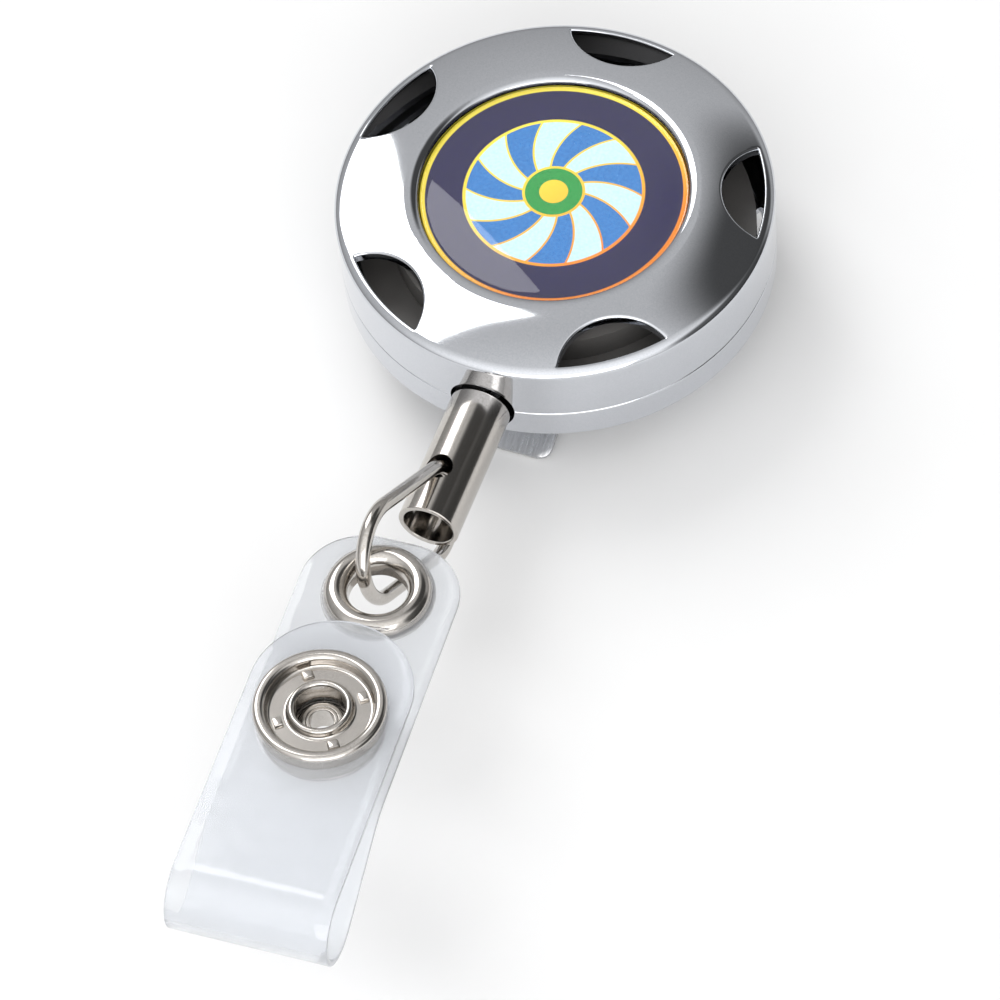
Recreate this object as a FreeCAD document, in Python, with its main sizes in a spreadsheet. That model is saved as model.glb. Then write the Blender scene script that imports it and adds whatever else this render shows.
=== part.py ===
import FreeCAD, Part
import math
import os

import Sketcher

# Retractable badge reel lying on its back, face up (+Z), cord nozzle towards -Y.
# Origin: on the case's axis, on the outer face of its back plate. Millimetres.

Vector = FreeCAD.Vector
Rotation = FreeCAD.Rotation
Placement = FreeCAD.Placement

X_AXIS = Vector(1, 0, 0)
Y_AXIS = Vector(0, 1, 0)
Z_AXIS = Vector(0, 0, 1)
TURN = 360

doc = FreeCAD.newDocument("badge_reel")
sheet = doc.addObject("Spreadsheet::Sheet", "Dims")


# ---------------------------------------------------------------- driving dimensions


class Size:
    """A number and the sheet expression that gives it, so that both stay in step."""

    def __init__(self, number, text):
        self.number = float(number)
        self.text = text

    def __add__(self, other):
        return combine(self, "+", other)

    def __radd__(self, other):
        return combine(other, "+", self)

    def __sub__(self, other):
        return combine(self, "-", other)

    def __rsub__(self, other):
        return combine(other, "-", self)

    def __mul__(self, other):
        return combine(self, "*", other)

    def __rmul__(self, other):
        return combine(other, "*", self)

    def __truediv__(self, other):
        return combine(self, "/", other)

    def __rtruediv__(self, other):
        return combine(other, "/", self)

    def __neg__(self):
        return combine(0, "-", self)


def as_size(value):
    """Leaves a Size alone and wraps a plain number in one."""
    return value if isinstance(value, Size) else Size(value, str(value))


def combine(left, sign, right):
    """Joins two sizes with + - * or /."""
    left = as_size(left)
    right = as_size(right)
    results = {
        "+": lambda a, b: a + b,
        "-": lambda a, b: a - b,
        "*": lambda a, b: a * b,
        "/": lambda a, b: a / b,
    }
    return Size(results[sign](left.number, right.number), f"({left.text} {sign} {right.text})")


def root(size):
    """Square root of a size."""
    return Size(math.sqrt(size.number), f"sqrt({size.text})")


def tangent(angle):
    """Tangent of an angle in degrees."""
    return Size(math.tan(math.radians(angle.number)), f"tan({angle.text})")


def cosine(angle):
    """Cosine of an angle in degrees."""
    return Size(math.cos(math.radians(angle.number)), f"cos({angle.text})")


def sine(angle):
    """Sine of an angle in degrees."""
    return Size(math.sin(math.radians(angle.number)), f"sin({angle.text})")


sheet_rows = []


def dimension(alias, number, note):
    """Writes one driving dimension into the sheet and returns it as a Size."""
    sheet_rows.append(alias)
    row = len(sheet_rows)
    sheet.set(f"A{row}", note)
    sheet.set(f"B{row}", str(number))
    sheet.setAlias(f"B{row}", alias)
    return Size(number, f"Dims.{alias}")


# case
case_radius = dimension("case_radius", 20, "outer radius of both shells")
shell_wall = dimension("shell_wall", 0.9, "wall of the cast shells")
back_depth = dimension("back_depth", 5.1, "seam down to the back plate's face")
back_side = dimension("back_side", 3.3, "seam down to the back shoulder")
back_flat_radius = dimension("back_flat_radius", 13.3, "flat area of the back plate")
front_side = dimension("front_side", 5.25, "seam up to the front shoulder")
front_height = dimension("front_height", 7, "seam up to the crest of the front face")
crest_radius = dimension("crest_radius", 13.2, "radius of the front crest")
shoulder_inset = dimension("shoulder_inset", 0.85, "width of the rounded shoulder")
recess_radius = dimension("recess_radius", 12.3, "recess that holds the label")
recess_floor = dimension("recess_floor", 5.6, "seam up to the recess floor")
shoulder_rise = dimension("shoulder_rise", 0.72, "height of the front's rounded shoulder")
shoulder_fall = dimension("shoulder_fall", 0.34, "height of the back's rounded shoulder")
shoulder_round = dimension("shoulder_round", 0.9, "radius of the front's rounded shoulder")
crown_radius = dimension("crown_radius", 32, "radius of the front face's crown")
recess_break = dimension("recess_break", 0.12, "fall of the recess's broken edge")
recess_land = dimension("recess_land", 0.35, "depth of the recess's broken edge")
seam_chamfer = dimension("seam_chamfer", 0.12, "edge break along the seam")
lip_height = dimension("lip_height", 0.8, "locating lip inside the seam")
lip_width = dimension("lip_width", 0.65, "thickness of the locating lip")
window_count = 5
window_radius = dimension("window_radius", 19, "outer edge of the half-moon windows")
window_inner = dimension("window_inner", 15.2, "nearest the windows come to the axis")
window_half_angle = dimension("window_half_angle", 15.1, "half the angle of a window")

# nozzle
nozzle_reach = dimension("nozzle_reach", 1.2, "nozzle beyond the case wall")
nozzle_top = dimension("nozzle_top", 1.4, "half width of the nozzle's top facet")
nozzle_height = dimension("nozzle_height", 3.4, "half height of the nozzle's end")
nozzle_side = dimension("nozzle_side", 3.9, "half width of the nozzle's end")
nozzle_corner = dimension("nozzle_corner", 2, "height of the nozzle's side facet")
nozzle_flare = dimension("nozzle_flare", 1.24, "growth of the nozzle towards the case")

# inner mechanism
liner_wall = dimension("liner_wall", 0.7, "wall of the black inner housing")
liner_radius = dimension("liner_radius", 15, "outer radius of the inner drum")
flange_gap = dimension("flange_gap", 0.2, "housing's flange to the locating lip")
liner_step = dimension("liner_step", 0.5, "seam to the housing's flange")
liner_bevel = dimension("liner_bevel", 0.6, "height of the bevel round the drum's end")
fit_gap = dimension("fit_gap", 0.1, "assembly gap between fixed pieces")
run_gap = dimension("run_gap", 0.05, "radial running clearance")
slot_half_width = dimension("slot_half_width", 13.05, "half the width of the cord's slot in the drum")
post_radius = dimension("post_radius", 1.6, "spool post")
hub_wall = dimension("hub_wall", 0.9, "wall of the spool's hub")
drum_radius = dimension("drum_radius", 9, "radius that the cord is wound on")
drum_wall = dimension("drum_wall", 0.8, "wall of the spool's spring cup")
spool_radius = dimension("spool_radius", 13.4, "flanges of the spool")
spool_flange = dimension("spool_flange", 0.6, "thickness of the spool's flanges")
end_play = dimension("end_play", 0.25, "axial play of the spool")
spring_leaf = dimension("spring_leaf", 0.2, "thickness of the spring strip")
spring_turns = 7
lead_rounding = 0.45  # share of the lead's shorter run that its one arc takes
cover_thickness = dimension("cover_thickness", 0.4, "spring cover")
cord_radius = dimension("cord_radius", 0.4, "pull cord")
winding_depth = dimension("winding_depth", 2.2, "radial depth of the wound cord")

# label
label_thickness = dimension("label_thickness", 0.4, "printed metal disc")
label_gap = dimension("label_gap", 0.15, "label to the recess wall")
dome_edge = dimension("dome_edge", 0.3, "height of the clear dome at its edge")
dome_rise = dimension("dome_rise", 0.75, "further height of the dome at its centre")

# belt clip
strip = dimension("strip", 0.5, "thickness of the clip's spring steel")
foot_width = dimension("foot_width", 12, "width of the clip's foot")
tongue_width = dimension("tongue_width", 10, "width of the clip's tongue")
bend_radius = dimension("bend_radius", 2.45, "outer radius of the clip's bend")
bend_at = dimension("bend_at", 17.3, "start of the clip's bend")
foot_end = dimension("foot_end", 6, "free end of the clip's foot past the axis")
knee_at = dimension("knee_at", 8.7, "knee of the tongue past the axis")
knee_gap = dimension("knee_gap", 0.9, "knee's clearance to the back plate")
tongue_end = dimension("tongue_end", 17.8, "end of the tongue's lip past the axis")
hinge_gap = dimension("hinge_gap", 0.12, "gap at the clip's flexing line")
rivet_radius = dimension("rivet_radius", 1.1, "shank of the clip's rivets")
rivet_head = dimension("rivet_head", 2, "head of the clip's rivets")
rivet_rise = dimension("rivet_rise", 0.5, "height of a rivet head")
rivet_round = dimension("rivet_round", 0.3, "rounding of a rivet head")
rivet_spacing = dimension("rivet_spacing", 9, "distance between the two rivets")
rivet_first = dimension("rivet_first", 1, "nearer rivet from the axis")

# sleeve and ring
sleeve_radius = dimension("sleeve_radius", 2.8, "swivel sleeve")
sleeve_wall = dimension("sleeve_wall", 0.5, "wall of the sleeve")
sleeve_seat = dimension("sleeve_seat", 1.2, "sleeve's depth in the nozzle")
sleeve_length = dimension("sleeve_length", 13.6, "length of the sleeve")
sleeve_gap = dimension("sleeve_gap", 0.25, "sleeve to the nozzle's bore")
sleeve_end = dimension("sleeve_end", 1.2, "thickness of the sleeve's closed end")
cord_hole = dimension("cord_hole", 0.6, "radius of the hole for the cord")
bead_radius = dimension("bead_radius", 1.3, "knot bead inside the sleeve")
cross_gap = dimension("cross_gap", 0.29, "ring's wire to the sleeve's cross hole")
cross_back = dimension("cross_back", 4.7, "cross hole from the sleeve's open end")
sleeve_roll = dimension("sleeve_roll", 12.5, "roll of the sleeve at rest, degrees")
wire_radius = dimension("wire_radius", 0.65, "wire of the oval ring")
ring_clear = dimension("ring_clear", 0.75, "ring's side to the sleeve")
ring_straight = dimension("ring_straight", 9.3, "straight length of the ring's sides")
ring_tilt = dimension("ring_tilt", 34, "rise of the ring at rest, degrees")

# strap
strap_pitch = dimension("strap_pitch", -3, "fall of the strap at rest, degrees: it rises a little")
strap_yaw = dimension("strap_yaw", -3.3, "turn of the strap at rest, degrees")
strap_drop = dimension("strap_drop", 1.9, "eyelet's centre below the ring's far end")
strap_past = dimension("strap_past", 1.1, "eyelet's centre past the ring's far end")
vinyl = dimension("vinyl", 0.5, "thickness of the strap")
strap_width = dimension("strap_width", 14.2, "width of the strap")
strap_corner = dimension("strap_corner", 5.4, "rounding of the strap's eyelet end")
strap_end = dimension("strap_end", 5.6, "strap's end beyond the eyelet's centre")
snap_at = dimension("snap_at", 14.9, "eyelet's centre to the snap's centre")
layer_rise = dimension("layer_rise", 2.7, "distance between the strap's two layers")
slope_past = dimension("slope_past", 0.9, "back layer's slope beyond the snap's edge")
slope_angle = dimension("slope_angle", 23.2, "slope of the back layer, degrees")
loop_end = dimension("loop_end", 35.4, "eyelet's centre to the loop's end")
loop_flat = dimension("loop_flat", 0.06, "straight part of the loop's end")
hinge_back = dimension("hinge_back", 4.2, "flap's bending line from the loop's rounding")
flap_gap = dimension("flap_gap", 0.15, "gap at the flap's bending line")
flap_end = dimension("flap_end", 9.6, "flap's end beyond the snap's centre")

# eyelet and snap
eyelet_radius = dimension("eyelet_radius", 4.75, "outer radius of the eyelet")
throat = dimension("throat", 2.6, "throat of the eyelet")
barrel = dimension("barrel", 0.45, "wall of the eyelet's barrel")
eyelet_roll = dimension("eyelet_roll", 1.1, "height of the eyelet's rolled rim")
washer_radius = dimension("washer_radius", 5, "eyelet's washer")
washer = dimension("washer", 0.35, "thickness of the washer")
clinch = dimension("clinch", 0.5, "height of the eyelet's clinched end")
eyelet_bulge = dimension("eyelet_bulge", 0.02, "rolled rim's radius beyond half its width")
snap_radius = dimension("snap_radius", 5.7, "outer radius of the snap")
snap_sheet = dimension("snap_sheet", 0.4, "sheet metal of the snap")
cap_height = dimension("cap_height", 1.5, "height of the snap's front ring")
cap_rim = dimension("cap_rim", 0.9, "width of the front ring's rim")
cap_round = dimension("cap_round", 0.65, "rounding of the front ring's rim")
cap_hole = dimension("cap_hole", 2.15, "through hole of the front ring")
socket_hole = dimension("socket_hole", 2.4, "socket's hole")
socket_base = dimension("socket_base", 0.1, "socket above the stud's base")
stud_radius = dimension("stud_radius", 2.05, "head of the stud")
stud_neck = dimension("stud_neck", 1.85, "neck of the stud")
stud_height = dimension("stud_height", 1.65, "head of the stud above the back layer")
stem_radius = dimension("stem_radius", 1.4, "rear post's stem")
stem_wall = dimension("stem_wall", 0.35, "wall of the rear post's stem")
spring_wire = dimension("spring_wire", 0.22, "wire of the socket's spring")
spring_opening = dimension("spring_opening", 30, "opening of the socket's spring, degrees")

doc.recompute()

# ---------------------------------------------------------------- drawing helpers

bound_values = []
finished = {}


def bind(thing, name, size):
    """Ties a property to the sheet and remembers the value it should then have."""
    size = as_size(size)
    thing.setExpression(name, size.text)
    bound_values.append((thing, name, size.number))


def finish(thing, label, placement=None):
    """Gives a finished sub-part its label and its place."""
    thing.Label = label
    if placement is not None:
        thing.Placement = placement
    finished[label] = thing
    return thing


def new_body(label):
    """Starts a PartDesign body."""
    return doc.addObject("PartDesign::Body", f"{label}_body")


def origin_feature(body, role):
    """Finds a plane or axis of a body's origin."""
    return next(f for f in body.Origin.OriginFeatures if f.Role == role)


def arc_between(start, end, radius):
    """Short arc from start to end; a negative radius runs clockwise. Also its end order."""
    chord = end - start
    reach = math.sqrt(max(radius * radius - (chord.Length / 2) ** 2, 0))
    left = Vector(-chord.y, chord.x, 0).normalize()
    centre = (start + end) / 2 + left * math.copysign(reach, radius)
    circle = Part.Circle(centre, Z_AXIS, abs(radius))
    first, last = (start, end) if radius > 0 else (end, start)
    angles = [math.atan2(p.y - centre.y, p.x - centre.x) for p in (first, last)]
    order = (1, 2) if radius > 0 else (2, 1)
    return Part.ArcOfCircle(circle, angles[0], angles[1]), order


def pin_coordinate(sketch, edge, end, kind, size):
    """Holds one coordinate of a sketch point at a size."""
    if size.number == 0:
        axis = -2 if kind == "DistanceX" else -1
        sketch.addConstraint(Sketcher.Constraint("PointOnObject", edge, end, axis))
        return
    index = sketch.addConstraint(Sketcher.Constraint(kind, edge, end, size.number))
    sketch.setExpression(f"Constraints[{index}]", size.text)


def draw_outline(sketch, corners):
    """Draws a closed outline of (x, y) corners.

    A third value is the radius of the edge that leaves that corner: positive runs
    counter-clockwise round its centre, negative runs clockwise.
    """
    corners = [tuple(as_size(value) for value in corner) for corner in corners]
    points = [Vector(c[0].number, c[1].number, 0) for c in corners]
    orders = []
    for i, corner in enumerate(corners):
        start = points[i]
        end = points[(i + 1) % len(points)]
        if len(corner) == 3:
            arc, order = arc_between(start, end, corner[2].number)
            sketch.addGeometry(arc, False)
            orders.append(order)
        else:
            sketch.addGeometry(Part.LineSegment(start, end), False)
            orders.append((1, 2))
    for i in range(len(corners)):
        after = (i + 1) % len(corners)
        joint = Sketcher.Constraint("Coincident", i, orders[i][1], after, orders[after][0])
        sketch.addConstraint(joint)
    for i, corner in enumerate(corners):
        pin_coordinate(sketch, i, orders[i][0], "DistanceX", corner[0])
        pin_coordinate(sketch, i, orders[i][0], "DistanceY", corner[1])
        if len(corner) == 3:
            radius = corner[2] if corner[2].number > 0 else -corner[2]
            index = sketch.addConstraint(Sketcher.Constraint("Radius", i, radius.number))
            sketch.setExpression(f"Constraints[{index}]", radius.text)


def new_sketch(body, name, plane, offset=None):
    """Attaches an empty sketch to an origin plane of its body, moved along its normal."""
    sketch = body.newObject("Sketcher::SketchObject", name)
    sketch.AttachmentSupport = [(origin_feature(body, plane), "")]
    sketch.MapMode = "FlatFace"
    if offset is not None:
        bind(sketch, "AttachmentOffset.Base.z", offset)
    return sketch


def outline_sketch(body, name, plane, corners, offset=None):
    """Sketch of one closed outline."""
    sketch = new_sketch(body, name, plane, offset)
    draw_outline(sketch, corners)
    return sketch


def circle_sketch(body, name, plane, x, y, radius, offset=None):
    """Sketch of one circle."""
    sketch = new_sketch(body, name, plane, offset)
    x = as_size(x)
    y = as_size(y)
    centre = Vector(x.number, y.number, 0)
    sketch.addGeometry(Part.Circle(centre, Z_AXIS, radius.number), False)
    pin_coordinate(sketch, 0, 3, "DistanceX", x)
    pin_coordinate(sketch, 0, 3, "DistanceY", y)
    index = sketch.addConstraint(Sketcher.Constraint("Radius", 0, radius.number))
    sketch.setExpression(f"Constraints[{index}]", radius.text)
    return sketch


def revolve(body, corners):
    """Turns an outline of (radius, height) corners about the body's Z axis."""
    sketch = outline_sketch(body, "profile", "XZ_Plane", corners)
    turned = body.newObject("PartDesign::Revolution", "turned")
    turned.Profile = sketch
    turned.ReferenceAxis = (sketch, ["V_Axis"])
    turned.Angle = TURN
    return turned


def turned_part(label, corners, placement=None):
    """A sub-part that is one solid of revolution."""
    body = new_body(label)
    revolve(body, corners)
    return finish(body, label, placement)


def pad(body, sketch, length, midplane=False, backwards=False):
    """Extrudes a sketch."""
    block = body.newObject("PartDesign::Pad", "pad")
    block.Profile = sketch
    bind(block, "Length", length)
    block.Midplane = midplane
    block.Reversed = backwards
    return block


def pocket(body, sketch, backwards=False, midplane=False):
    """Cuts a sketch through everything on one side of its plane, or on both."""
    cut = body.newObject("PartDesign::Pocket", "pocket")
    cut.Profile = sketch
    cut.Type = "ThroughAll"
    cut.Midplane = midplane
    cut.Reversed = backwards
    return cut


def shape_part(label, shape, placement=None):
    """A sub-part whose solid is made with Part's own functions."""
    feature = doc.addObject("Part::Feature", f"{label}_shape")
    feature.Shape = shape
    return finish(feature, label, placement)


# ---------------------------------------------------------------- places

seam = Placement(Vector(0, 0, back_depth.number), Rotation())
nozzle_end = case_radius + nozzle_reach
sleeve_start = nozzle_end - sleeve_seat
cross_at = sleeve_start + sleeve_length - cross_back

# The sleeve's own Z runs along the cord, away from the case.
sleeve_place = Placement(Vector(), Rotation(Y_AXIS, -sleeve_roll.number))
sleeve_place = seam.multiply(sleeve_place).multiply(Placement(Vector(), Rotation(X_AXIS, 90)))

# The ring's end arc crosses the sleeve's wall at this height, a little off the arc's end
# and slanting, so the cross hole is wider than the wire.
ring_half = sleeve_radius + wire_radius + ring_clear
crossing = sleeve_radius - sleeve_wall / 2
slant_sine = crossing / ring_half
slant_cosine = root(1 - slant_sine * slant_sine)
slant_width = wire_radius / slant_cosine + sleeve_wall / 2 * slant_sine / slant_cosine
cross_hole = slant_width + cross_gap
arc_slip = ring_half - root(ring_half * ring_half - crossing * crossing)
ring_origin = -cross_at + arc_slip - ring_half


def ring_placement():
    """Ring's own frame: its plane is XY, its near arc is centred on the origin towards +Y."""
    rise = math.radians(ring_tilt.number)
    up = Vector(0, math.sin(rise), math.cos(rise))
    near = Vector(0, math.cos(rise), -math.sin(rise))
    flat = Placement(Vector(0, ring_origin.number, 0), Rotation(up, near, up.cross(near), "XYZ"))
    rolled = Placement(Vector(), Rotation(Y_AXIS, -sleeve_roll.number))
    return seam.multiply(rolled).multiply(flat)


ring_place = ring_placement()


def strap_placement():
    """Strap's own frame: eyelet's centre in the middle of the back layer, snap towards -Y."""
    far = ring_place.multVec(Vector(0, -(ring_straight + ring_half).number, 0))
    centre = Vector(0, far.y - strap_past.number, far.z - strap_drop.number)
    yaw = Placement(centre, Rotation(Z_AXIS, -strap_yaw.number))
    return yaw.multiply(Placement(Vector(), Rotation(X_AXIS, strap_pitch.number)))


strap_place = strap_placement()

# ---------------------------------------------------------------- case shells


def half_octagon(grow, upwards):
    """Half of the nozzle's eight-sided section, on one side of the seam."""
    side = nozzle_side * grow
    corner = nozzle_corner * grow
    height = nozzle_height * grow
    top = nozzle_top * grow
    if not upwards:
        corner = -corner
        height = -height
    return [(-side, 0), (side, 0), (side, corner), (top, height), (-top, height), (-side, corner)]


def add_nozzle(body, upwards):
    """Half of the nozzle, then the bore that the sleeve seats in."""
    outer = outline_sketch(body, "nozzle_tip", "XZ_Plane", half_octagon(1, upwards), nozzle_end)
    start = case_radius - shell_wall
    inner = outline_sketch(
        body, "nozzle_root", "XZ_Plane", half_octagon(nozzle_flare, upwards), start
    )
    loft = body.newObject("PartDesign::AdditiveLoft", "nozzle")
    loft.Profile = inner
    loft.Sections = [outer]
    bore = circle_sketch(body, "bore", "XZ_Plane", 0, 0, sleeve_radius + sleeve_gap)
    pocket(body, bore, backwards=True)


def add_windows(body, upwards):
    """Five half-moon windows through the face, the first one opposite the nozzle."""
    half_chord = window_radius * sine(window_half_angle)
    corner_y = window_radius * cosine(window_half_angle)
    sagitta = corner_y - window_inner
    inner_arc = (half_chord * half_chord + sagitta * sagitta) / (2 * sagitta)
    corners = [
        (half_chord, corner_y, window_radius),
        (-half_chord, corner_y, inner_arc),
    ]
    sketch = outline_sketch(body, "window", "XY_Plane", corners)
    first = pocket(body, sketch, backwards=upwards)
    pattern = body.newObject("PartDesign::PolarPattern", "windows")
    pattern.Originals = [first]
    pattern.Axis = (origin_feature(body, "Z_Axis"), [""])
    pattern.Angle = TURN
    pattern.Occurrences = window_count
    body.Tip = pattern


def front_shell():
    """Upper casting: side wall, rounded shoulder, shallow crown, label recess."""
    body = new_body("front_shell")
    inner = case_radius - shell_wall
    shoulder = case_radius - shoulder_inset
    shoulder_height = front_side + shoulder_rise
    revolve(
        body,
        [
            (case_radius - seam_chamfer, 0),
            (case_radius, seam_chamfer),
            (case_radius, front_side, shoulder_round),
            (shoulder, shoulder_height, crown_radius),
            (crest_radius, front_height),
            (recess_radius + label_gap, front_height - recess_break),
            (recess_radius, front_height - recess_land),
            (recess_radius, recess_floor),
            (0, recess_floor),
            (0, recess_floor - shell_wall),
            (recess_radius + shell_wall, recess_floor - shell_wall),
            (recess_radius + shell_wall, front_height - shell_wall - fit_gap),
            (inner - shoulder_inset, front_side - fit_gap),
            (inner, front_side - shell_wall),
            (inner, 0),
        ],
    )
    add_nozzle(body, upwards=True)
    add_windows(body, upwards=True)
    finish(body, "front_shell", seam)


def back_shell():
    """Lower casting: side wall, sloping shoulder, flat back plate, locating lip."""
    body = new_body("back_shell")
    inner = case_radius - shell_wall
    lip_outer = inner - run_gap
    shoulder = case_radius - shoulder_inset
    shoulder_height = -back_side - shoulder_fall
    run = shoulder - back_flat_radius
    rise = shoulder_height + back_depth
    slope_radius = (run * run + rise * rise) / (2 * rise)
    revolve(
        body,
        [
            (0, -back_depth),
            (back_flat_radius, -back_depth, slope_radius),
            (shoulder, shoulder_height, shoulder_inset),
            (case_radius, -back_side),
            (case_radius, -seam_chamfer),
            (case_radius - seam_chamfer, 0),
            (lip_outer, 0),
            (lip_outer, lip_height),
            (lip_outer - lip_width, lip_height),
            (lip_outer - lip_width, -back_side + fit_gap),
            (back_flat_radius, shell_wall - back_depth),
            (0, shell_wall - back_depth),
        ],
    )
    add_nozzle(body, upwards=False)
    add_windows(body, upwards=False)
    add_rivet_holes(body)
    finish(body, "back_shell", seam)


def add_rivet_holes(body):
    """Two holes for the clip's rivets."""
    for number in range(2):
        place = rivet_first + rivet_spacing * number
        name = f"rivet_hole_{number}"
        sketch = circle_sketch(body, name, "XY_Plane", 0, place, rivet_radius)
        pocket(body, sketch)


# ---------------------------------------------------------------- label


def label():
    """Printed metal disc in the recess and the clear dome cast on it."""
    radius = recess_radius - label_gap
    plate = doc.addObject("Part::Cylinder", "label_disc")
    bind(plate, "Radius", radius)
    bind(plate, "Height", label_thickness)
    bind(plate, "Placement.Base.z", back_depth + recess_floor)
    finish(plate, "label_plate")
    base = recess_floor + label_thickness
    ball = (radius * radius + dome_rise * dome_rise) / (2 * dome_rise)
    turned_part(
        "label_dome",
        [(0, base), (radius, base), (radius, base + dome_edge, ball), (0, base + dome_edge + dome_rise)],
        seam,
    )


# ---------------------------------------------------------------- inner mechanism

liner_top = recess_floor - shell_wall - fit_gap
liner_bottom = back_depth - shell_wall - fit_gap
spool_top = liner_top - liner_wall - end_play
spool_bottom = liner_bottom - liner_wall - end_play
cup_radius = drum_radius - drum_wall
hub_radius = post_radius + run_gap + hub_wall
winding_radius = drum_radius + winding_depth
liner_flange = case_radius - shell_wall - run_gap - lip_width - flange_gap


def half_liner(label, upwards):
    """Half of the black housing: drum, end plate, flange seen through the windows."""
    height = liner_top if upwards else liner_bottom
    corners = [
        (post_radius, height - liner_wall),
        (liner_radius - liner_wall, height - liner_wall),
        (liner_radius - liner_wall, fit_gap / 2),
        (liner_radius, fit_gap / 2),
        (liner_radius, liner_step),
        (liner_flange, liner_step),
        (liner_flange, liner_step + liner_wall),
        (liner_radius, liner_step + liner_wall),
        (liner_radius, height - liner_bevel),
        (back_flat_radius - liner_bevel, height),
        (post_radius, height),
    ]
    if not upwards:
        corners = [(radius, -z) for radius, z in corners]
    body = new_body(label)
    revolve(body, corners)
    notch = circle_sketch(body, "cord_notch", "XZ_Plane", 0, 0, sleeve_radius + sleeve_gap)
    pocket(body, notch, backwards=True)
    depth = liner_step
    if not upwards:
        depth = -depth
    corners = [(0, 0), (slot_half_width, 0), (slot_half_width, depth), (0, depth)]
    side = outline_sketch(body, "cord_slot", "XZ_Plane", corners)
    pocket(body, side, backwards=True)
    finish(body, label, seam)


def spool():
    """Spool that turns on the post: hub, spring cup, cord groove between two flanges."""
    inner = post_radius + run_gap
    turned_part(
        "spool",
        [
            (inner, -spool_bottom),
            (hub_radius, -spool_bottom),
            (hub_radius, spool_top - spool_flange),
            (cup_radius, spool_top - spool_flange),
            (cup_radius, -spool_bottom),
            (spool_radius, -spool_bottom),
            (spool_radius, spool_flange - spool_bottom),
            (drum_radius, spool_flange - spool_bottom),
            (drum_radius, spool_top - spool_flange),
            (spool_radius, spool_top - spool_flange),
            (spool_radius, spool_top),
            (inner, spool_top),
        ],
        seam,
    )


def spring_cover():
    """Thin disc that closes the spool's spring cup."""
    inner = hub_radius + fit_gap
    outer = cup_radius - fit_gap / 2
    top = cover_thickness - spool_bottom
    corners = [(inner, -spool_bottom), (outer, -spool_bottom), (outer, top), (inner, top)]
    turned_part("spring_cover", corners, seam)


def spool_post():
    """Fixed plain post that the spool turns on, held between both halves of the housing."""
    turned_part(
        "spool_post",
        [
            (0, -liner_bottom),
            (post_radius, -liner_bottom),
            (post_radius, liner_top),
            (0, liner_top),
        ],
        seam,
    )


def spiral_spring():
    """Clock spring: a strip wound in half turns round the hub, inside the spool's cup."""
    first = (hub_radius + fit_gap + spring_leaf).number
    last = (cup_radius - fit_gap - spring_leaf).number
    half_turns = 2 * spring_turns
    growth = (last - first) / half_turns
    half_leaf = spring_leaf.number / 2
    bottom = (cover_thickness - spool_bottom + fit_gap).number
    height = (spool_top - spool_flange - fit_gap).number - bottom
    edges = []
    for side in (-1, 1):
        for turn in range(half_turns):
            radius = first + growth * (turn + 0.5) + side * half_leaf
            centre = Vector(growth if turn % 2 else 0, 0, bottom)
            start = 180 if turn % 2 else 0
            circle = Part.Circle(centre, Z_AXIS, radius)
            span = (math.radians(start), math.radians(start + 180))
            edges.append(Part.ArcOfCircle(circle, *span).toShape())
    runs = [edges[:half_turns], edges[half_turns:]]
    for end in (0, -1):
        points = [run[end].Vertexes[end].Point for run in runs]
        edges.append(Part.LineSegment(*points).toShape())
    outline = Part.Wire(Part.__sortEdges__(edges))
    shape_part("power_spring", Part.Face(outline).extrude(Vector(0, 0, height)), seam)


def cord_winding():
    """Cord wound on the spool, as one closed ring."""
    inner = drum_radius + fit_gap / 2
    top = spool_top - spool_flange - fit_gap
    bottom = spool_flange + fit_gap - spool_bottom
    corners = [(inner, bottom), (winding_radius, bottom), (winding_radius, top), (inner, top)]
    turned_part("cord_winding", corners, seam)


def cord_lead():
    """Cord from the winding through the nozzle to its bead: two runs and one arc."""
    radius = (winding_radius + cord_radius + run_gap).number
    turn_point = Vector(0, -(case_radius - shell_wall).number, 0)
    distance = -turn_point.y
    angle = math.acos(radius / distance)
    start = Vector(radius * math.sin(angle), -radius * math.cos(angle), 0)
    end = Vector(0, -bead_centre.number, 0)
    path = rounded_path([start, turn_point, end], [lead_rounding])
    tube = path.makePipeShell([cord_section(start, turn_point - start)], True, True)
    print("cord lead length", round(path.Length, 2), "volume ratio",
          round(tube.Volume / (path.Length * math.pi * cord_radius.number ** 2), 4))
    shape_part("cord_lead", tube, seam)


def rounded_path(points, shares):
    """Open path of straight runs joined by tangent arcs, each a share of its shorter run."""
    edges = []
    start = points[0]
    for index, share in enumerate(shares):
        corner = points[index + 1]
        back = points[index] - corner
        ahead = points[index + 2] - corner
        reach = share * min(back.Length, ahead.Length)
        tangents = [corner + side.normalize() * reach for side in (back, ahead)]
        half_turn = (math.pi - back.getAngle(ahead)) / 2
        radius = reach / math.tan(half_turn)
        print("cord arc radius", round(radius, 2))
        bisector = (back + ahead).normalize()
        middle = corner + bisector * (radius / math.cos(half_turn) - radius)
        edges.append(Part.LineSegment(start, tangents[0]).toShape())
        edges.append(Part.Arc(tangents[0], middle, tangents[1]).toShape())
        start = tangents[1]
    edges.append(Part.LineSegment(start, points[-1]).toShape())
    return Part.Wire(edges)


def cord_section(centre, direction):
    """Round section of the cord."""
    return Part.Wire(Part.Circle(centre, direction, cord_radius.number).toShape())


# ---------------------------------------------------------------- belt clip


def strip_part(label, corners, width):
    """A bent strip: its side outline in the YZ plane, extruded to its width."""
    body = new_body(label)
    sketch = outline_sketch(body, "side", "YZ_Plane", corners)
    pad(body, sketch, width, midplane=True)
    return body


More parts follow.
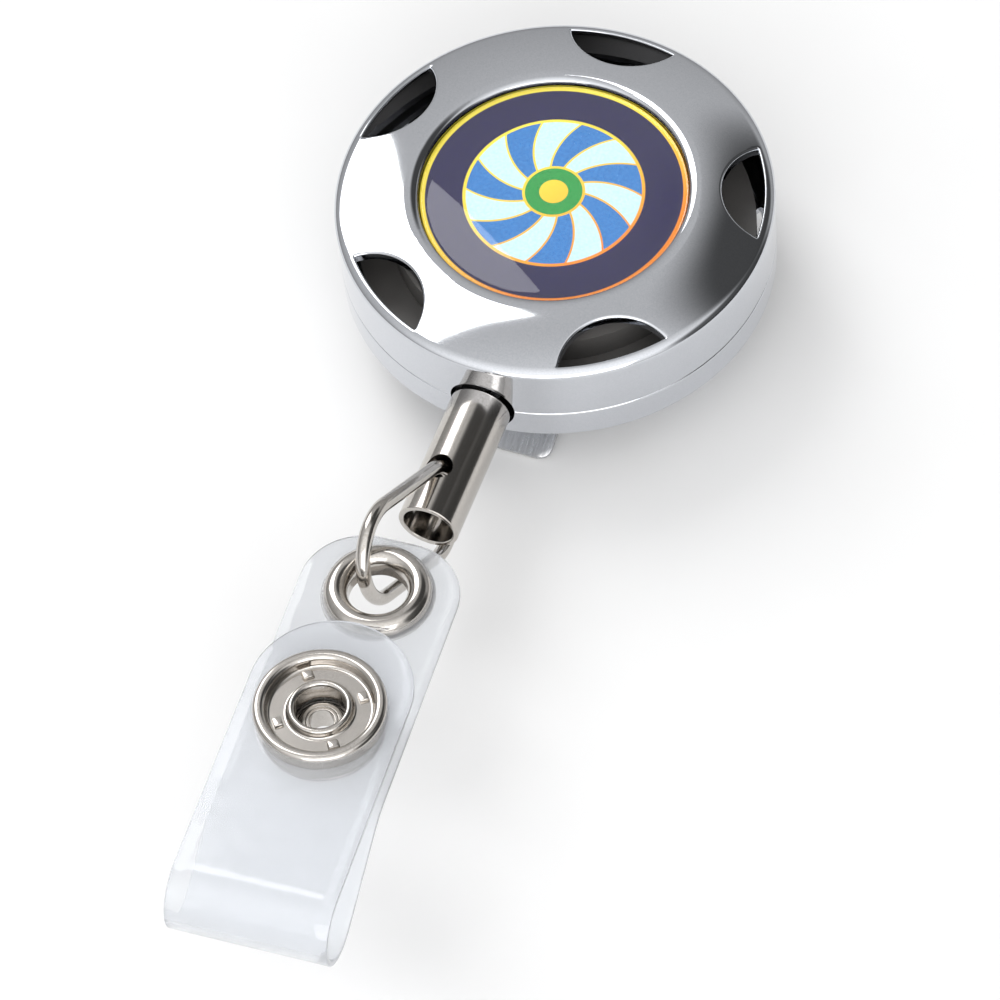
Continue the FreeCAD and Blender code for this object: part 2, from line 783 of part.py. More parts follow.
def clip_foot():
    """Fixed leaf of the clip, riveted to the back plate, up to the middle of its bend."""
    inner = bend_radius - strip
    stop = hinge_gap
    out_y = bend_at + root(bend_radius * bend_radius - stop * stop)
    in_y = bend_at + root(inner * inner - stop * stop)
    body = strip_part(
        "clip_foot",
        [
            (-foot_end, 0),
            (-foot_end, -strip),
            (bend_at, -strip, -inner),
            (in_y, stop - bend_radius),
            (out_y, stop - bend_radius, bend_radius),
            (bend_at, 0),
        ],
        foot_width,
    )
    for number in range(2):
        place = rivet_first + rivet_spacing * number
        name = f"rivet_hole_{number}"
        pocket(body, circle_sketch(body, name, "XY_Plane", 0, place, rivet_radius))
    finish(body, "clip_foot")


def clip_tongue():
    """Springing leaf of the clip: lower half of the bend, sloping blade, knee, flared lip."""
    inner = bend_radius - strip
    stop = hinge_gap
    out_y = bend_at + root(bend_radius * bend_radius - stop * stop)
    in_y = bend_at + root(inner * inner - stop * stop)
    low = bend_radius * 2
    knee = knee_gap + strip
    body = strip_part(
        "clip_tongue",
        [
            (out_y, -bend_radius - stop),
            (in_y, -bend_radius - stop, -inner),
            (bend_at, strip - low),
            (-knee_at, -knee_gap),
            (-tongue_end, strip - low),
            (-tongue_end, -low),
            (-knee_at, -knee),
            (bend_at, -low, bend_radius),
        ],
        tongue_width,
    )
    finish(body, "clip_tongue")


def clip_rivets():
    """Two rivets with a head under the foot and a head inside the back plate."""
    solids = []
    for number in range(2):
        place = (rivet_first + rivet_spacing * number).number
        shank_low = -(strip + rivet_rise).number
        shank_high = shell_wall.number
        shank = Part.makeCylinder(
            rivet_radius.number, shank_high - shank_low, Vector(0, place, shank_low)
        )
        head = Part.makeCylinder(rivet_head.number, rivet_rise.number, Vector(0, place, shank_low))
        rim = [e for e in head.Edges if e.Vertexes[0].Z < shank_low + 0.01]
        head = head.makeFillet(rivet_round.number, rim[:1])
        solids.append(shank.fuse(head).removeSplitter())
    shape_part("clip_rivets", Part.makeCompound(solids))


# ---------------------------------------------------------------- sleeve and ring

bead_centre = sleeve_start + sleeve_end + bead_radius + run_gap


def sleeve():
    """Swivel sleeve: a tube with a closed end for the cord and a cross hole for the ring."""
    body = new_body("sleeve")
    bore = sleeve_radius - sleeve_wall
    end = sleeve_start + sleeve_length
    bevel = sleeve_wall / 2
    revolve(
        body,
        [
            (cord_hole, sleeve_start),
            (sleeve_radius - bevel, sleeve_start),
            (sleeve_radius, sleeve_start + bevel),
            (sleeve_radius, end),
            (bore, end),
            (bore, sleeve_start + sleeve_end),
            (cord_hole, sleeve_start + sleeve_end),
        ],
    )
    pocket(body, circle_sketch(body, "cross_hole", "XZ_Plane", 0, cross_at, cross_hole), midplane=True)
    finish(body, "sleeve", sleeve_place)


def cord_bead():
    """Bead that the cord is knotted in, behind the sleeve's closed end."""
    ball = doc.addObject("Part::Sphere", "bead_ball")
    bind(ball, "Radius", bead_radius)
    bind(ball, "Placement.Base.y", -bead_centre)
    bind(ball, "Placement.Base.z", back_depth)
    hole = doc.addObject("Part::Cylinder", "bead_hole")
    bind(hole, "Radius", cord_radius)
    bind(hole, "Height", bead_radius + run_gap)
    hole.Placement = Placement(Vector(0, -bead_centre.number, back_depth.number), Rotation(X_AXIS, -90))
    cut = doc.addObject("Part::Cut", "bead_cut")
    cut.Base = ball
    cut.Tool = hole
    finish(cut, "cord_bead")


def ring_bend(name, turn, place_y):
    """Half a turn of wire at one end of the ring."""
    bend = doc.addObject("Part::Torus", name)
    bind(bend, "Radius1", ring_half)
    bind(bend, "Radius2", wire_radius)
    bend.Angle3 = TURN / 2
    bend.Placement = Placement(Vector(0, place_y, 0), Rotation(Z_AXIS, turn))
    return bend


def oval_ring():
    """Oval wire ring, threaded through the sleeve's cross hole and the eyelet."""
    pieces = [
        ring_bend("ring_near", 0, 0),
        ring_bend("ring_far", TURN / 2, -ring_straight.number),
    ]
    for side in (-1, 1):
        leg = doc.addObject("Part::Cylinder", f"ring_leg_{side + 2}")
        bind(leg, "Radius", wire_radius)
        bind(leg, "Height", ring_straight)
        leg.Placement = Placement(Vector(side * ring_half.number, 0, 0), Rotation(X_AXIS, 90))
        pieces.append(leg)
    ring = doc.addObject("Part::MultiFuse", "ring_fuse")
    ring.Shapes = pieces
    ring.Refine = True
    finish(ring, "oval_ring", ring_place)


# ---------------------------------------------------------------- strap

# The loop is as round as the room between the sloping back layer and the flap allows.
slope_at = snap_at + snap_radius + slope_past
slope_drop = (loop_end - slope_at) * tangent(slope_angle)
loop_height = layer_rise + slope_drop - loop_flat
loop_radius = loop_height / (1 + 1 / tangent(45 - slope_angle / 2))
flap_hinge = loop_end - loop_radius - hinge_back


def strap_plan(length_in, length_out, rounding):
    """Plan of a strap end: a straight band whose end has rounded corners."""
    half = strap_width.number / 2
    top = length_in
    low = -length_out
    corner = min(rounding, half)
    slant = corner * (1 - math.sqrt(0.5))
    points = [Vector(-half, low, 0), Vector(half, low, 0), Vector(half, top - corner, 0)]
    edges = [
        Part.LineSegment(points[0], points[1]).toShape(),
        Part.LineSegment(points[1], points[2]).toShape(),
        Part.Arc(
            points[2], Vector(half - slant, top - slant, 0), Vector(half - corner, top, 0)
        ).toShape(),
    ]
    if corner < half:
        flat = (Vector(half - corner, top, 0), Vector(corner - half, top, 0))
        edges.append(Part.LineSegment(*flat).toShape())
    edges.append(
        Part.Arc(
            Vector(corner - half, top, 0),
            Vector(slant - half, top - slant, 0),
            Vector(-half, top - corner, 0),
        ).toShape()
    )
    edges.append(Part.LineSegment(Vector(-half, top - corner, 0), points[0]).toShape())
    outline = Part.Face(Part.Wire(edges))
    depth = loop_end.number
    prism = outline.extrude(Vector(0, 0, 2 * depth))
    prism.translate(Vector(0, 0, -depth))
    return prism


def side_point(y, z):
    """Point of the strap's middle surface, seen from the side."""
    return Vector(0, y, z)


def strap_path(points, radii):
    """Middle line of the strap: straight runs with a rounded corner at each inner point."""
    edges = []
    start = points[0]
    for corner, before, after, radius in zip(points[1:-1], points[:-2], points[2:], radii):
        back = (before - corner).normalize()
        ahead = (after - corner).normalize()
        half_turn = (math.pi - back.getAngle(ahead)) / 2
        reach = radius * math.tan(half_turn)
        bisector = (back + ahead).normalize()
        middle = corner + bisector * (radius / math.cos(half_turn) - radius)
        edges.append(Part.LineSegment(start, corner + back * reach).toShape())
        edges.append(Part.Arc(corner + back * reach, middle, corner + ahead * reach).toShape())
        start = corner + ahead * reach
    edges.append(Part.LineSegment(start, points[-1]).toShape())
    return Part.Wire(edges)


def vinyl_band(path):
    """Sweeps the strap's thin section along its middle line."""
    start = path.Edges[0].valueAt(path.Edges[0].FirstParameter)
    half = strap_width.number / 2
    thick = vinyl.number / 2
    corners = [
        Vector(side * half, start.y, start.z + lift * thick)
        for side, lift in ((-1, -1), (1, -1), (1, 1), (-1, 1), (-1, -1))
    ]
    section = Part.makePolygon(corners)
    return path.makePipeShell([section], True, False)


def vertical_hole(y, radius):
    """Cutter for a hole through the strap's layers."""
    depth = loop_end.number
    return Part.makeCylinder(radius, 2 * depth, Vector(0, y, -depth))


def strap_back():
    """Back layer with the loop: from the eyelet's end round to the flap's bending line."""
    points = [
        side_point(strap_end.number, 0),
        side_point(-slope_at.number, 0),
        side_point(-loop_end.number, -slope_drop.number),
        side_point(-loop_end.number, layer_rise.number),
        side_point(-(flap_hinge + flap_gap + vinyl / 2).number, layer_rise.number),
    ]
    radii = [2 * loop_radius.number, loop_radius.number, loop_radius.number]
    band = vinyl_band(strap_path(points, radii))
    band = band.common(
        strap_plan(strap_end.number, 2 * loop_end.number, strap_corner.number)
    )
    band = band.cut(vertical_hole(0, (throat + barrel).number))
    stem_hole = Part.makeCylinder(
        stem_radius.number, 2 * vinyl.number, Vector(0, -snap_at.number, -vinyl.number)
    )
    shape_part("strap_back", band.cut(stem_hole), strap_place)


def strap_flap():
    """Front layer: a flat flap with a rounded end, from its bending line to past the snap."""
    thick = vinyl.number
    reach = (snap_at - flap_end).number
    hinge = flap_hinge.number
    plan = strap_plan(-reach, hinge, strap_width.number / 2)
    low = layer_rise.number - thick / 2
    slab = Part.makeBox(
        strap_width.number, hinge, thick, Vector(-strap_width.number / 2, -hinge, low)
    )
    knuckle = Part.makeCylinder(
        thick / 2,
        strap_width.number,
        Vector(-strap_width.number / 2, -hinge, layer_rise.number),
        X_AXIS,
    )
    flap = slab.common(plan).fuse(knuckle).removeSplitter()
    flap = flap.cut(vertical_hole(-snap_at.number, cap_tube.number))
    shape_part("strap_flap", flap, strap_place)


# ---------------------------------------------------------------- eyelet and snap

layer_half = vinyl / 2
cap_tube = cap_hole + snap_sheet
snap_place = strap_place.multiply(Placement(Vector(0, -snap_at.number, 0), Rotation()))


def eyelet():
    """Eyelet: rolled front rim, barrel through the strap, end clinched over the washer."""
    outer = throat + barrel
    under = -layer_half - washer
    bulge = (eyelet_radius - throat) / 2
    rounding = bulge + eyelet_bulge
    turned_part(
        "eyelet",
        [
            (throat, layer_half, -rounding),
            (throat + bulge, layer_half + eyelet_roll, -rounding),
            (eyelet_radius, layer_half),
            (outer, layer_half),
            (outer, under),
            (outer + clinch, under),
            (outer + clinch, under - clinch * 0.4),
            (outer, under - clinch),
            (throat, under - clinch * 0.6),
        ],
        strap_place,
    )


def eyelet_washer():
    """Washer behind the strap."""
    inner = throat + barrel
    top = -layer_half
    corners = [(inner, top - washer), (washer_radius, top - washer), (washer_radius, top), (inner, top)]
    turned_part("eyelet_washer", corners, strap_place)


def snap_cap():
    """Front ring of the snap: raised rim, sunk annulus, inner tube through the flap."""
    base = layer_rise + layer_half
    top = base + cap_height
    rim_in = snap_radius - cap_rim
    floor = base + snap_sheet
    foot = base - vinyl - snap_sheet
    turned_part(
        "snap_cap",
        [
            (cap_hole, foot),
            (cap_tube, foot),
            (cap_tube, base),
            (snap_radius, base),
            (snap_radius, top - cap_rim / 2, cap_round),
            (snap_radius - cap_rim / 2, top, cap_round),
            (rim_in, top - cap_rim / 2),
            (rim_in - snap_sheet, floor),
            (cap_tube + snap_sheet, floor),
            (cap_tube, top - snap_sheet),
            (cap_hole, top - snap_sheet),
        ],
        snap_place,
    )


def snap_socket():
    """Socket under the flap, with a groove for its spring."""
    top = layer_rise - layer_half
    low = layer_half + snap_sheet + socket_base
    groove_low = low + snap_sheet
    groove_top = groove_low + spring_wire * 3
    seat = top - snap_sheet
    groove = socket_hole + spring_wire * 2.5
    edge = snap_radius - cap_rim / 2
    turned_part(
        "snap_socket",
        [
            (socket_hole, low),
            (edge - snap_sheet / 2, low),
            (edge, low + snap_sheet / 2),
            (edge, top - snap_sheet / 2),
            (edge - snap_sheet / 2, top),
            (cap_tube, top),
            (cap_tube, seat),
            (socket_hole, seat),
            (socket_hole, groove_top),
            (groove, groove_top),
            (groove, groove_low),
            (socket_hole, groove_low),
        ],
        snap_place,
    )


def socket_spring():
    """Open wire spring in the socket's groove."""
    wire = doc.addObject("Part::Torus", "spring_torus")
    height = layer_half + snap_sheet + socket_base + snap_sheet + spring_wire * 1.5
    bind(wire, "Radius1", socket_hole + spring_wire * 1.2)
    bind(wire, "Radius2", spring_wire)
    wire.Angle3 = TURN - spring_opening.number
    lift = Placement(Vector(0, 0, height.number), Rotation())
    finish(wire, "socket_spring", snap_place.multiply(lift))


def snap_stud():
    """Stud on the back layer: flange, neck and rounded head."""
    base = layer_half
    top = base + stud_height
    edge = snap_radius - cap_rim / 2
    neck = base + snap_sheet
    bulge = (top - neck) / 2
    turned_part(
        "snap_stud",
        [
            (stem_radius, base),
            (edge, base),
            (edge, neck),
            (stud_neck, neck),
            (stud_radius, neck + bulge),
            (stud_neck, top),
            (stem_radius, top),
        ],
        snap_place,
    )


def snap_post():
    """Rear post behind the back layer: domed flange and a hollow stem inside the stud."""
    base = -layer_half
    edge = snap_radius - cap_rim
    bore = stem_radius - stem_wall
    turned_part(
        "snap_post",
        [
            (bore, base - snap_sheet),
            (edge - snap_sheet, base - snap_sheet),
            (edge, base - snap_sheet / 2),
            (edge, base),
            (stem_radius, base),
            (stem_radius, layer_half + stud_height),
            (bore, layer_half + stud_height),
        ],
        snap_place,
    )


# ---------------------------------------------------------------- build, check, write


def build():
    """Makes every sub-part."""
    front_shell()
    back_shell()
    label()
    half_liner("front_liner", upwards=True)
    half_liner("back_liner", upwards=False)
    spool()
    spring_cover()
    spool_post()
    spiral_spring()
    cord_winding()
    cord_lead()
    clip_foot()
    clip_tongue()
    clip_rivets()
    sleeve()
    cord_bead()
    oval_ring()
    strap_back()
    strap_flap()
    eyelet()
    eyelet_washer()
    snap_cap()
    snap_socket()
    socket_spring()
    snap_stud()
    snap_post()


def property_value(thing, name):
    """Reads a property, or a part of one, as a plain number."""
    value = thing
    for step in name.split("."):
        value = getattr(value, step)
    return value.Value if hasattr(value, "Value") else value


def check():
    """Stops the build if anything failed, is not a valid solid or lost its size."""
    for thing in doc.Objects:
        if "Invalid" in thing.State or "Error" in thing.State:
            raise RuntimeError(f"{thing.Label} failed: {thing.State}")
    for thing, name, wanted in bound_values:
        if abs(property_value(thing, name) - wanted) > 1e-6:
            raise RuntimeError(f"{thing.Label}.{name} is not {wanted}")
    for label_name, thing in finished.items():
        shape = thing.Shape
        if shape.isNull() or not shape.isValid() or not shape.Solids:
            raise RuntimeError(f"{label_name} is not a valid solid")


def write():
    """Writes one STEP file for each sub-part."""
    os.makedirs("parts", exist_ok=True)
    for label_name, thing in finished.items():
        thing.Shape.exportStep(os.path.join("parts", f"{label_name}.step"))


build()
doc.recompute()
check()
write()
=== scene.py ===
"""Looks of a retractable badge reel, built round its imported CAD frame. Sizes are in millimetres."""

import math

import bmesh
import bpy
import numpy as np
from mathutils import Matrix, Vector


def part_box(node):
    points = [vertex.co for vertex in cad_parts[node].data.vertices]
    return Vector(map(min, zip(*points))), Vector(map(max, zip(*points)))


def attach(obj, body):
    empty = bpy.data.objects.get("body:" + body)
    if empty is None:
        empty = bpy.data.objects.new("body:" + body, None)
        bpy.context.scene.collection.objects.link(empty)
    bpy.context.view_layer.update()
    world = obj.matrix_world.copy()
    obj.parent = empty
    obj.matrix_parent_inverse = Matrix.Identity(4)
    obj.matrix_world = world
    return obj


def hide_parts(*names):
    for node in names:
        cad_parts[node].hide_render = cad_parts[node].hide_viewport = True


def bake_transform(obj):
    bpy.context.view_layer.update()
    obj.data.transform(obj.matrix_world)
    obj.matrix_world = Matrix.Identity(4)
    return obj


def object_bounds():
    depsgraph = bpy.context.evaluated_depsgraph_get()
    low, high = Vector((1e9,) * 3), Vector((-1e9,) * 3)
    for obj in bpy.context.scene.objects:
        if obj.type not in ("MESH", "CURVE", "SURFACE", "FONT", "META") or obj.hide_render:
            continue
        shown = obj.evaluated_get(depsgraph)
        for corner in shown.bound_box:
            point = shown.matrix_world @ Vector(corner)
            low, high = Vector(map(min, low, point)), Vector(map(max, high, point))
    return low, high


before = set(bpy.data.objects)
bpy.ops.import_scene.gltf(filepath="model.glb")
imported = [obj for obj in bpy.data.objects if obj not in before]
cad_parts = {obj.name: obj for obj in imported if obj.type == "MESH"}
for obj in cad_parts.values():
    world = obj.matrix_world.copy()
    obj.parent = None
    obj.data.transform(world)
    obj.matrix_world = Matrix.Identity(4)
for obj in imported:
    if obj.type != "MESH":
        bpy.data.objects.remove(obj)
cad_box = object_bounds()

MM = 0.001
QUARTER_TURN = Matrix.Rotation(math.radians(90), 4, "X")

# ------------------------------------------------------------------ places


def box_mm(node):
    """Lowest and highest corner of a CAD node in millimetres."""
    low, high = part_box(node)
    return low / MM, high / MM


def middle_of(node):
    low, high = box_mm(node)
    return (low + high) / 2


case_low, case_high = box_mm("front_shell")
SEAM = case_low.z
CASE = case_high.x
BACK = SEAM - box_mm("back_shell")[0].z
ROLL = math.radians(12.5)
RING_RISE = math.radians(34)
STRAP_PITCH = math.radians(-3)
STRAP_YAW = math.radians(-3.3)


# The sleeve's own Z runs along the cord, away from the case, from the sleeve's closed end.
sleeve_low, sleeve_high = box_mm("sleeve")
SLEEVE_LENGTH = sleeve_high.y - sleeve_low.y
sleeve_place = (
    Matrix.Translation((0, sleeve_high.y, SEAM))
    @ Matrix.Rotation(-ROLL, 4, "Y")
    @ QUARTER_TURN
)


def ring_frame():
    """The oval ring's own frame: its plane is XY and its centre is the origin."""
    up = Vector((0, math.sin(RING_RISE), math.cos(RING_RISE)))
    near = Vector((0, math.cos(RING_RISE), -math.sin(RING_RISE)))
    axes = Matrix((up, near, up.cross(near))).transposed().to_4x4()
    return Matrix.Translation(middle_of("oval_ring")) @ Matrix.Rotation(-ROLL, 4, "Y") @ axes


ring_place = ring_frame()

# The strap's own frame: X across, Y towards the reel, Z out of its front, origin in the
# middle of the back layer under the eyelet.
VINYL = 0.5
WASHER = 0.35
strap_turn = Matrix.Rotation(-STRAP_YAW, 4, "Z") @ Matrix.Rotation(STRAP_PITCH, 4, "X")
strap_up = strap_turn @ Vector((0, 0, 1))
eyelet_centre = middle_of("eyelet_washer") + strap_up * (VINYL + WASHER) / 2
strap_place = Matrix.Translation(eyelet_centre) @ strap_turn
SNAP_AT = 14.9
snap_place = strap_place @ Matrix.Translation((0, -SNAP_AT, 0))
LAYER_RISE = 2.7

# ------------------------------------------------------------------ shader helpers


def colour(code):
    """sRGB hex to linear RGBA."""
    parts = [int(code[i : i + 2], 16) / 255 for i in (1, 3, 5)]
    linear = [p / 12.92 if p <= 0.04045 else ((p + 0.055) / 1.055) ** 2.4 for p in parts]
    return (*linear, 1)


def per_mm(size):
    """Texture scale that repeats once in this many millimetres of Object coordinates."""
    return 1 / (size * MM)


def add(tree, kind, inputs=None, **settings):
    """Adds a node with its settings; an input is a value or the socket that feeds it."""
    node = tree.nodes.new(kind)
    for name, value in settings.items():
        setattr(node, name, value)
    for name, value in (inputs or {}).items():
        if isinstance(value, bpy.types.NodeSocket):
            tree.links.new(value, node.inputs[name])
        else:
            node.inputs[name].default_value = value
    return node


def start_material(name):
    """A material with nothing in it but its output; returns it with its node tree."""
    material = bpy.data.materials.new(name)
    material.use_nodes = True
    material.node_tree.nodes.clear()
    return material, material.node_tree


def end_material(tree, shader):
    output = add(tree, "ShaderNodeOutputMaterial")
    tree.links.new(shader, output.inputs["Surface"])


def ramp(tree, factor, stops, interpolation="LINEAR"):
    """Colour ramp from (position, colour) stops."""
    node = add(tree, "ShaderNodeValToRGB", {"Fac": factor})
    node.color_ramp.interpolation = interpolation
    elements = node.color_ramp.elements
    while len(elements) < len(stops):
        elements.new(0.5)
    for element, (position, value) in zip(elements, stops):
        element.position = position
        element.color = value
    return node.outputs["Color"]


def grey(value):
    return (value, value, value, 1)


def noise(tree, place, size_mm, detail, **more):
    """Soft noise whose spots are about this many millimetres apart."""
    inputs = {"Vector": place, "Scale": per_mm(size_mm), "Detail": detail, **more}
    return add(tree, "ShaderNodeTexNoise", inputs).outputs["Fac"]


def relief(tree, height, strength, depth_mm):
    """Normal of a surface with this relief."""
    inputs = {"Height": height, "Strength": strength, "Distance": depth_mm * MM}
    return add(tree, "ShaderNodeBump", inputs).outputs["Normal"]


def finished(material, tree, inputs):
    """Ends a material with one Principled shader and returns it."""
    shader = add(tree, "ShaderNodeBsdfPrincipled", inputs)
    end_material(tree, shader.outputs["BSDF"])
    return material


def plated_metal(name, tint, worn_tint, roughness, spread, swell_mm, swell, scratch_mm):
    """Electroplated metal: mirror base, slow swell of the casting, fine handling marks."""
    material, tree = start_material(name)
    place = add(tree, "ShaderNodeTexCoord").outputs["Object"]
    slow = noise(tree, place, swell_mm, 1.0)
    fine = noise(tree, place, scratch_mm, 4.0, Distortion=2.5)
    tone = ramp(tree, fine, [(0.38, colour(worn_tint)), (0.6, colour(tint))])
    gloss = ramp(tree, fine, [(0.3, grey(roughness + spread)), (0.65, grey(roughness))])
    bump = relief(tree, slow, swell, 0.1)
    return finished(material, tree, {"Base Color": tone, "Roughness": gloss, "Normal": bump, "Metallic": 1.0})


# Zinc die casting, polished and chrome plated: a cool, near-perfect mirror.
polished_chrome_plate = plated_metal(
    "polished_chrome_plate", "#d0d2d7", "#cacdd2", 0.05, 0.02, 9, 0.25, 0.3
)

# Drawn brass, barrel polished and nickel plated: a warmer, slightly softer mirror.
barrel_polished_nickel_plate = plated_metal(
    "barrel_polished_nickel_plate", "#c6c2bd", "#bab5af", 0.12, 0.05, 3.5, 0.15, 0.3
)


def rolled_spring_steel():
    """Strip steel, rolled along its length and nickel washed: satin with fine rolling lines."""
    material, tree = start_material("rolled_spring_steel")
    place = add(tree, "ShaderNodeTexCoord").outputs["Object"]
    stretched = add(tree, "ShaderNodeMapping", {"Vector": place, "Scale": (1.0, 0.04, 0.3)})
    lines = noise(tree, stretched.outputs["Vector"], 0.25, 3.0)
    tone = ramp(tree, lines, [(0.3, colour("#b9babc")), (0.7, colour("#d6d7d9"))])
    gloss = ramp(tree, lines, [(0.3, grey(0.38)), (0.7, grey(0.24))])
    bump = relief(tree, lines, 0.12, 0.02)
    return finished(material, tree, {
        "Base Color": tone,
        "Roughness": gloss,
        "Metallic": 1.0,
        "Anisotropic": 0.4,
        "Normal": bump,
    })


def moulded_plastic(name, tint, shade, roughness, grain_mm, grain):
    """Injection-moulded plastic: fine spark-eroded grain, slightly uneven gloss."""
    material, tree = start_material(name)
    place = add(tree, "ShaderNodeTexCoord").outputs["Object"]
    fine = noise(tree, place, grain_mm, 3.0)
    slow = noise(tree, place, 6, 2.0)
    tone = ramp(tree, slow, [(0.3, colour(shade)), (0.7, colour(tint))])
    gloss = ramp(tree, fine, [(0.2, grey(roughness + 0.1)), (0.8, grey(roughness - 0.05))])
    bump = relief(tree, fine, grain, 0.03)
    return finished(material, tree, {"Base Color": tone, "Roughness": gloss, "Normal": bump, "IOR": 1.5})


# ABS, mould-textured, charcoal grey: seen through the windows.
charcoal_moulded_abs = moulded_plastic("charcoal_moulded_abs", "#6c6a68", "#5e5c5a", 0.36, 0.25, 0.35)
# Acetal, natural white, smooth from the mould.
natural_moulded_acetal = moulded_plastic("natural_moulded_acetal", "#ecebe4", "#dfddd4", 0.32, 0.5, 0.15)


def blued_strip_steel():
    """Tempered clock-spring strip, oil blued: dark blue-grey with straw patches."""
    material, tree = start_material("blued_strip_steel")
    place = add(tree, "ShaderNodeTexCoord").outputs["Object"]
    slow = noise(tree, place, 3, 3.0)
    tone = ramp(tree, slow, [(0.3, colour("#3d4350")), (0.7, colour("#6a6258"))])
    return finished(material, tree, {"Base Color": tone, "Roughness": 0.3, "Metallic": 1.0})


def braided_nylon_cord():
    """Black nylon cord, braided from eight yarns: diagonal ridges 0.5 mm apart on its own UV, with painted
    shade in the grooves and painted sheen on the ridges.
    """
    material, tree = start_material("braided_nylon_cord")
    uv = add(tree, "ShaderNodeTexCoord").outputs["UV"]
    ridges = []
    for lean in (1, -1):
        turned = add(tree, "ShaderNodeMapping", {"Vector": uv, "Rotation": (0, 0, lean * math.radians(45))})
        wave = add(
            tree,
            "ShaderNodeTexWave",
            {"Vector": turned.outputs["Vector"], "Scale": 0.65, "Distortion": 0.3, "Detail": 1.0},
            wave_profile="SIN",
        )
        ridges.append(wave.outputs["Fac"])
    weave = add(tree, "ShaderNodeMath", {0: ridges[0], 1: ridges[1]}, operation="MAXIMUM").outputs[0]
    # Painted shade and painted sheen: the colour follows the weave's relief, darker in the grooves between
    # the yarns and lighter on their ridges.
    tone = ramp(tree, weave, [(0.2, colour("#17181a")), (0.9, colour("#3b3c40"))])
    bump = relief(tree, weave, 0.6, 0.05)
    return finished(material, tree, {
        "Base Color": tone,
        "Roughness": 0.6,
        "Sheen Weight": 0.3,
        "Normal": bump,
    })


def printed_foil_label():
    """Offset print on gold foil: enamel-like inks between thin foil lines, a turbine in the middle."""
    material, tree = start_material("printed_foil_label")
    place = add(tree, "ShaderNodeTexCoord").outputs["Object"]
    split = add(tree, "ShaderNodeSeparateXYZ", {"Vector": place})
    x, y = split.outputs["X"], split.outputs["Y"]

    def math_node(operation, first, second=0.0):
        return add(tree, "ShaderNodeMath", {0: first, 1: second}, operation=operation).outputs[0]

    def mixed(factor, below, above):
        node = add(
            tree, "ShaderNodeMix", {"Factor": factor, 6: below, 7: above}, data_type="RGBA"
        )
        return node.outputs[2]

    def beyond(value, edge, soft=0.035):
        """0 below the edge and 1 above it, in millimetres."""
        node = add(
            tree,
            "ShaderNodeMapRange",
            {"Value": value, "From Min": edge - soft, "From Max": edge + soft},
        )
        return node.outputs["Result"]

    squares = math_node("ADD", math_node("MULTIPLY", x, x), math_node("MULTIPLY", y, y))
    across = math_node("MULTIPLY", math_node("POWER", squares, 0.5), 1 / MM)
    angle = math_node("ARCTAN2", y, x)
    # Fourteen curved vanes, alternately blue and pale, like a turbine seen from the front.
    around = math_node("MULTIPLY", angle, 7 / (2 * math.pi))
    vane = math_node("ADD", around, math_node("MULTIPLY", across, 0.09))
    is_blue = math_node("LESS_THAN", math_node("FRACT", vane), 0.5)
    pair_width = math_node("MULTIPLY", across, 2 * math.pi / 7)
    to_line = math_node("MULTIPLY", math_node("PINGPONG", vane, 0.25), pair_width)
    # Diagonal shine of the foil, as brushed gold is lit from one side.
    slant = math_node("MULTIPLY", math_node("ADD", x, math_node("MULTIPLY", y, -0.8)), 1 / MM)
    foil_place = add(tree, "ShaderNodeMapRange", {"Value": slant, "From Min": -14.0, "From Max": 14.0})
    foil = ramp(
        tree,
        foil_place.outputs["Result"],
        [(0.1, colour("#f4e04a")), (0.45, colour("#f3cf3a")), (0.85, colour("#f08a1c"))],
    )
    grain = noise(tree, place, 0.3, 2.0)
    navy = ramp(tree, grain, [(0.3, colour("#130f3c")), (0.7, colour("#1a154b"))])
    sky = ramp(tree, grain, [(0.3, colour("#b9dfea")), (0.7, colour("#cdebf2"))])
    blue = ramp(tree, grain, [(0.3, colour("#2a70b6")), (0.7, colour("#3a80c4"))])
    green = ramp(tree, grain, [(0.3, colour("#1f8a3c")), (0.7, colour("#2a9a48"))])
    vanes = mixed(beyond(to_line, 0.1), foil, mixed(is_blue, sky, blue))
    tone = mixed(beyond(across, 1.3), foil, green)
    tone = mixed(beyond(across, 2.6), tone, foil)
    tone = mixed(beyond(across, 2.85), tone, vanes)
    tone = mixed(beyond(across, 7.95), tone, foil)
    tone = mixed(beyond(across, 8.25), tone, navy)
    tone = mixed(beyond(across, 11.7), tone, foil)
    return finished(material, tree, {"Base Color": tone, "Roughness": 0.45, "Specular IOR Level": 0.15})


def cast_clear_epoxy():
    """Clear epoxy, cast as a dome on the label: liquid-smooth and glossy."""
    material, tree = start_material("cast_clear_epoxy")
    place = add(tree, "ShaderNodeTexCoord").outputs["Object"]
    slow = noise(tree, place, 8, 0.0)
    bump = relief(tree, slow, 0.1, 0.05)
    return finished(material, tree, {
        "Base Color": colour("#fefefd"),
        "Roughness": 0.02,
        "IOR": 1.5,
        "Specular IOR Level": 0.02,
        "Transmission Weight": 1.0,
        "Normal": bump,
    })


def calendered_clear_vinyl():
    """Soft PVC sheet, calendered clear: faint haze, slow ripples, slightly cool."""
    material, tree = start_material("calendered_clear_vinyl")
    place = add(tree, "ShaderNodeTexCoord").outputs["Object"]
    slow = noise(tree, place, 7, 2.0)
    haze = noise(tree, place, 1.5, 3.0)
    gloss = ramp(tree, haze, [(0.3, grey(0.06)), (0.7, grey(0.12))])
    bump = relief(tree, slow, 0.35, 0.15)
    return finished(material, tree, {
        "Base Color": colour("#e2e4e7"),
        "Roughness": gloss,
        "IOR": 1.5,
        "Transmission Weight": 0.75,
        "Normal": bump,
    })


clip_steel = rolled_spring_steel()
spring_strip = blued_strip_steel()
cord_braid = braided_nylon_cord()
label_print = printed_foil_label()
dome_epoxy = cast_clear_epoxy()
strap_vinyl = calendered_clear_vinyl()

# ------------------------------------------------------------------ mesh helpers


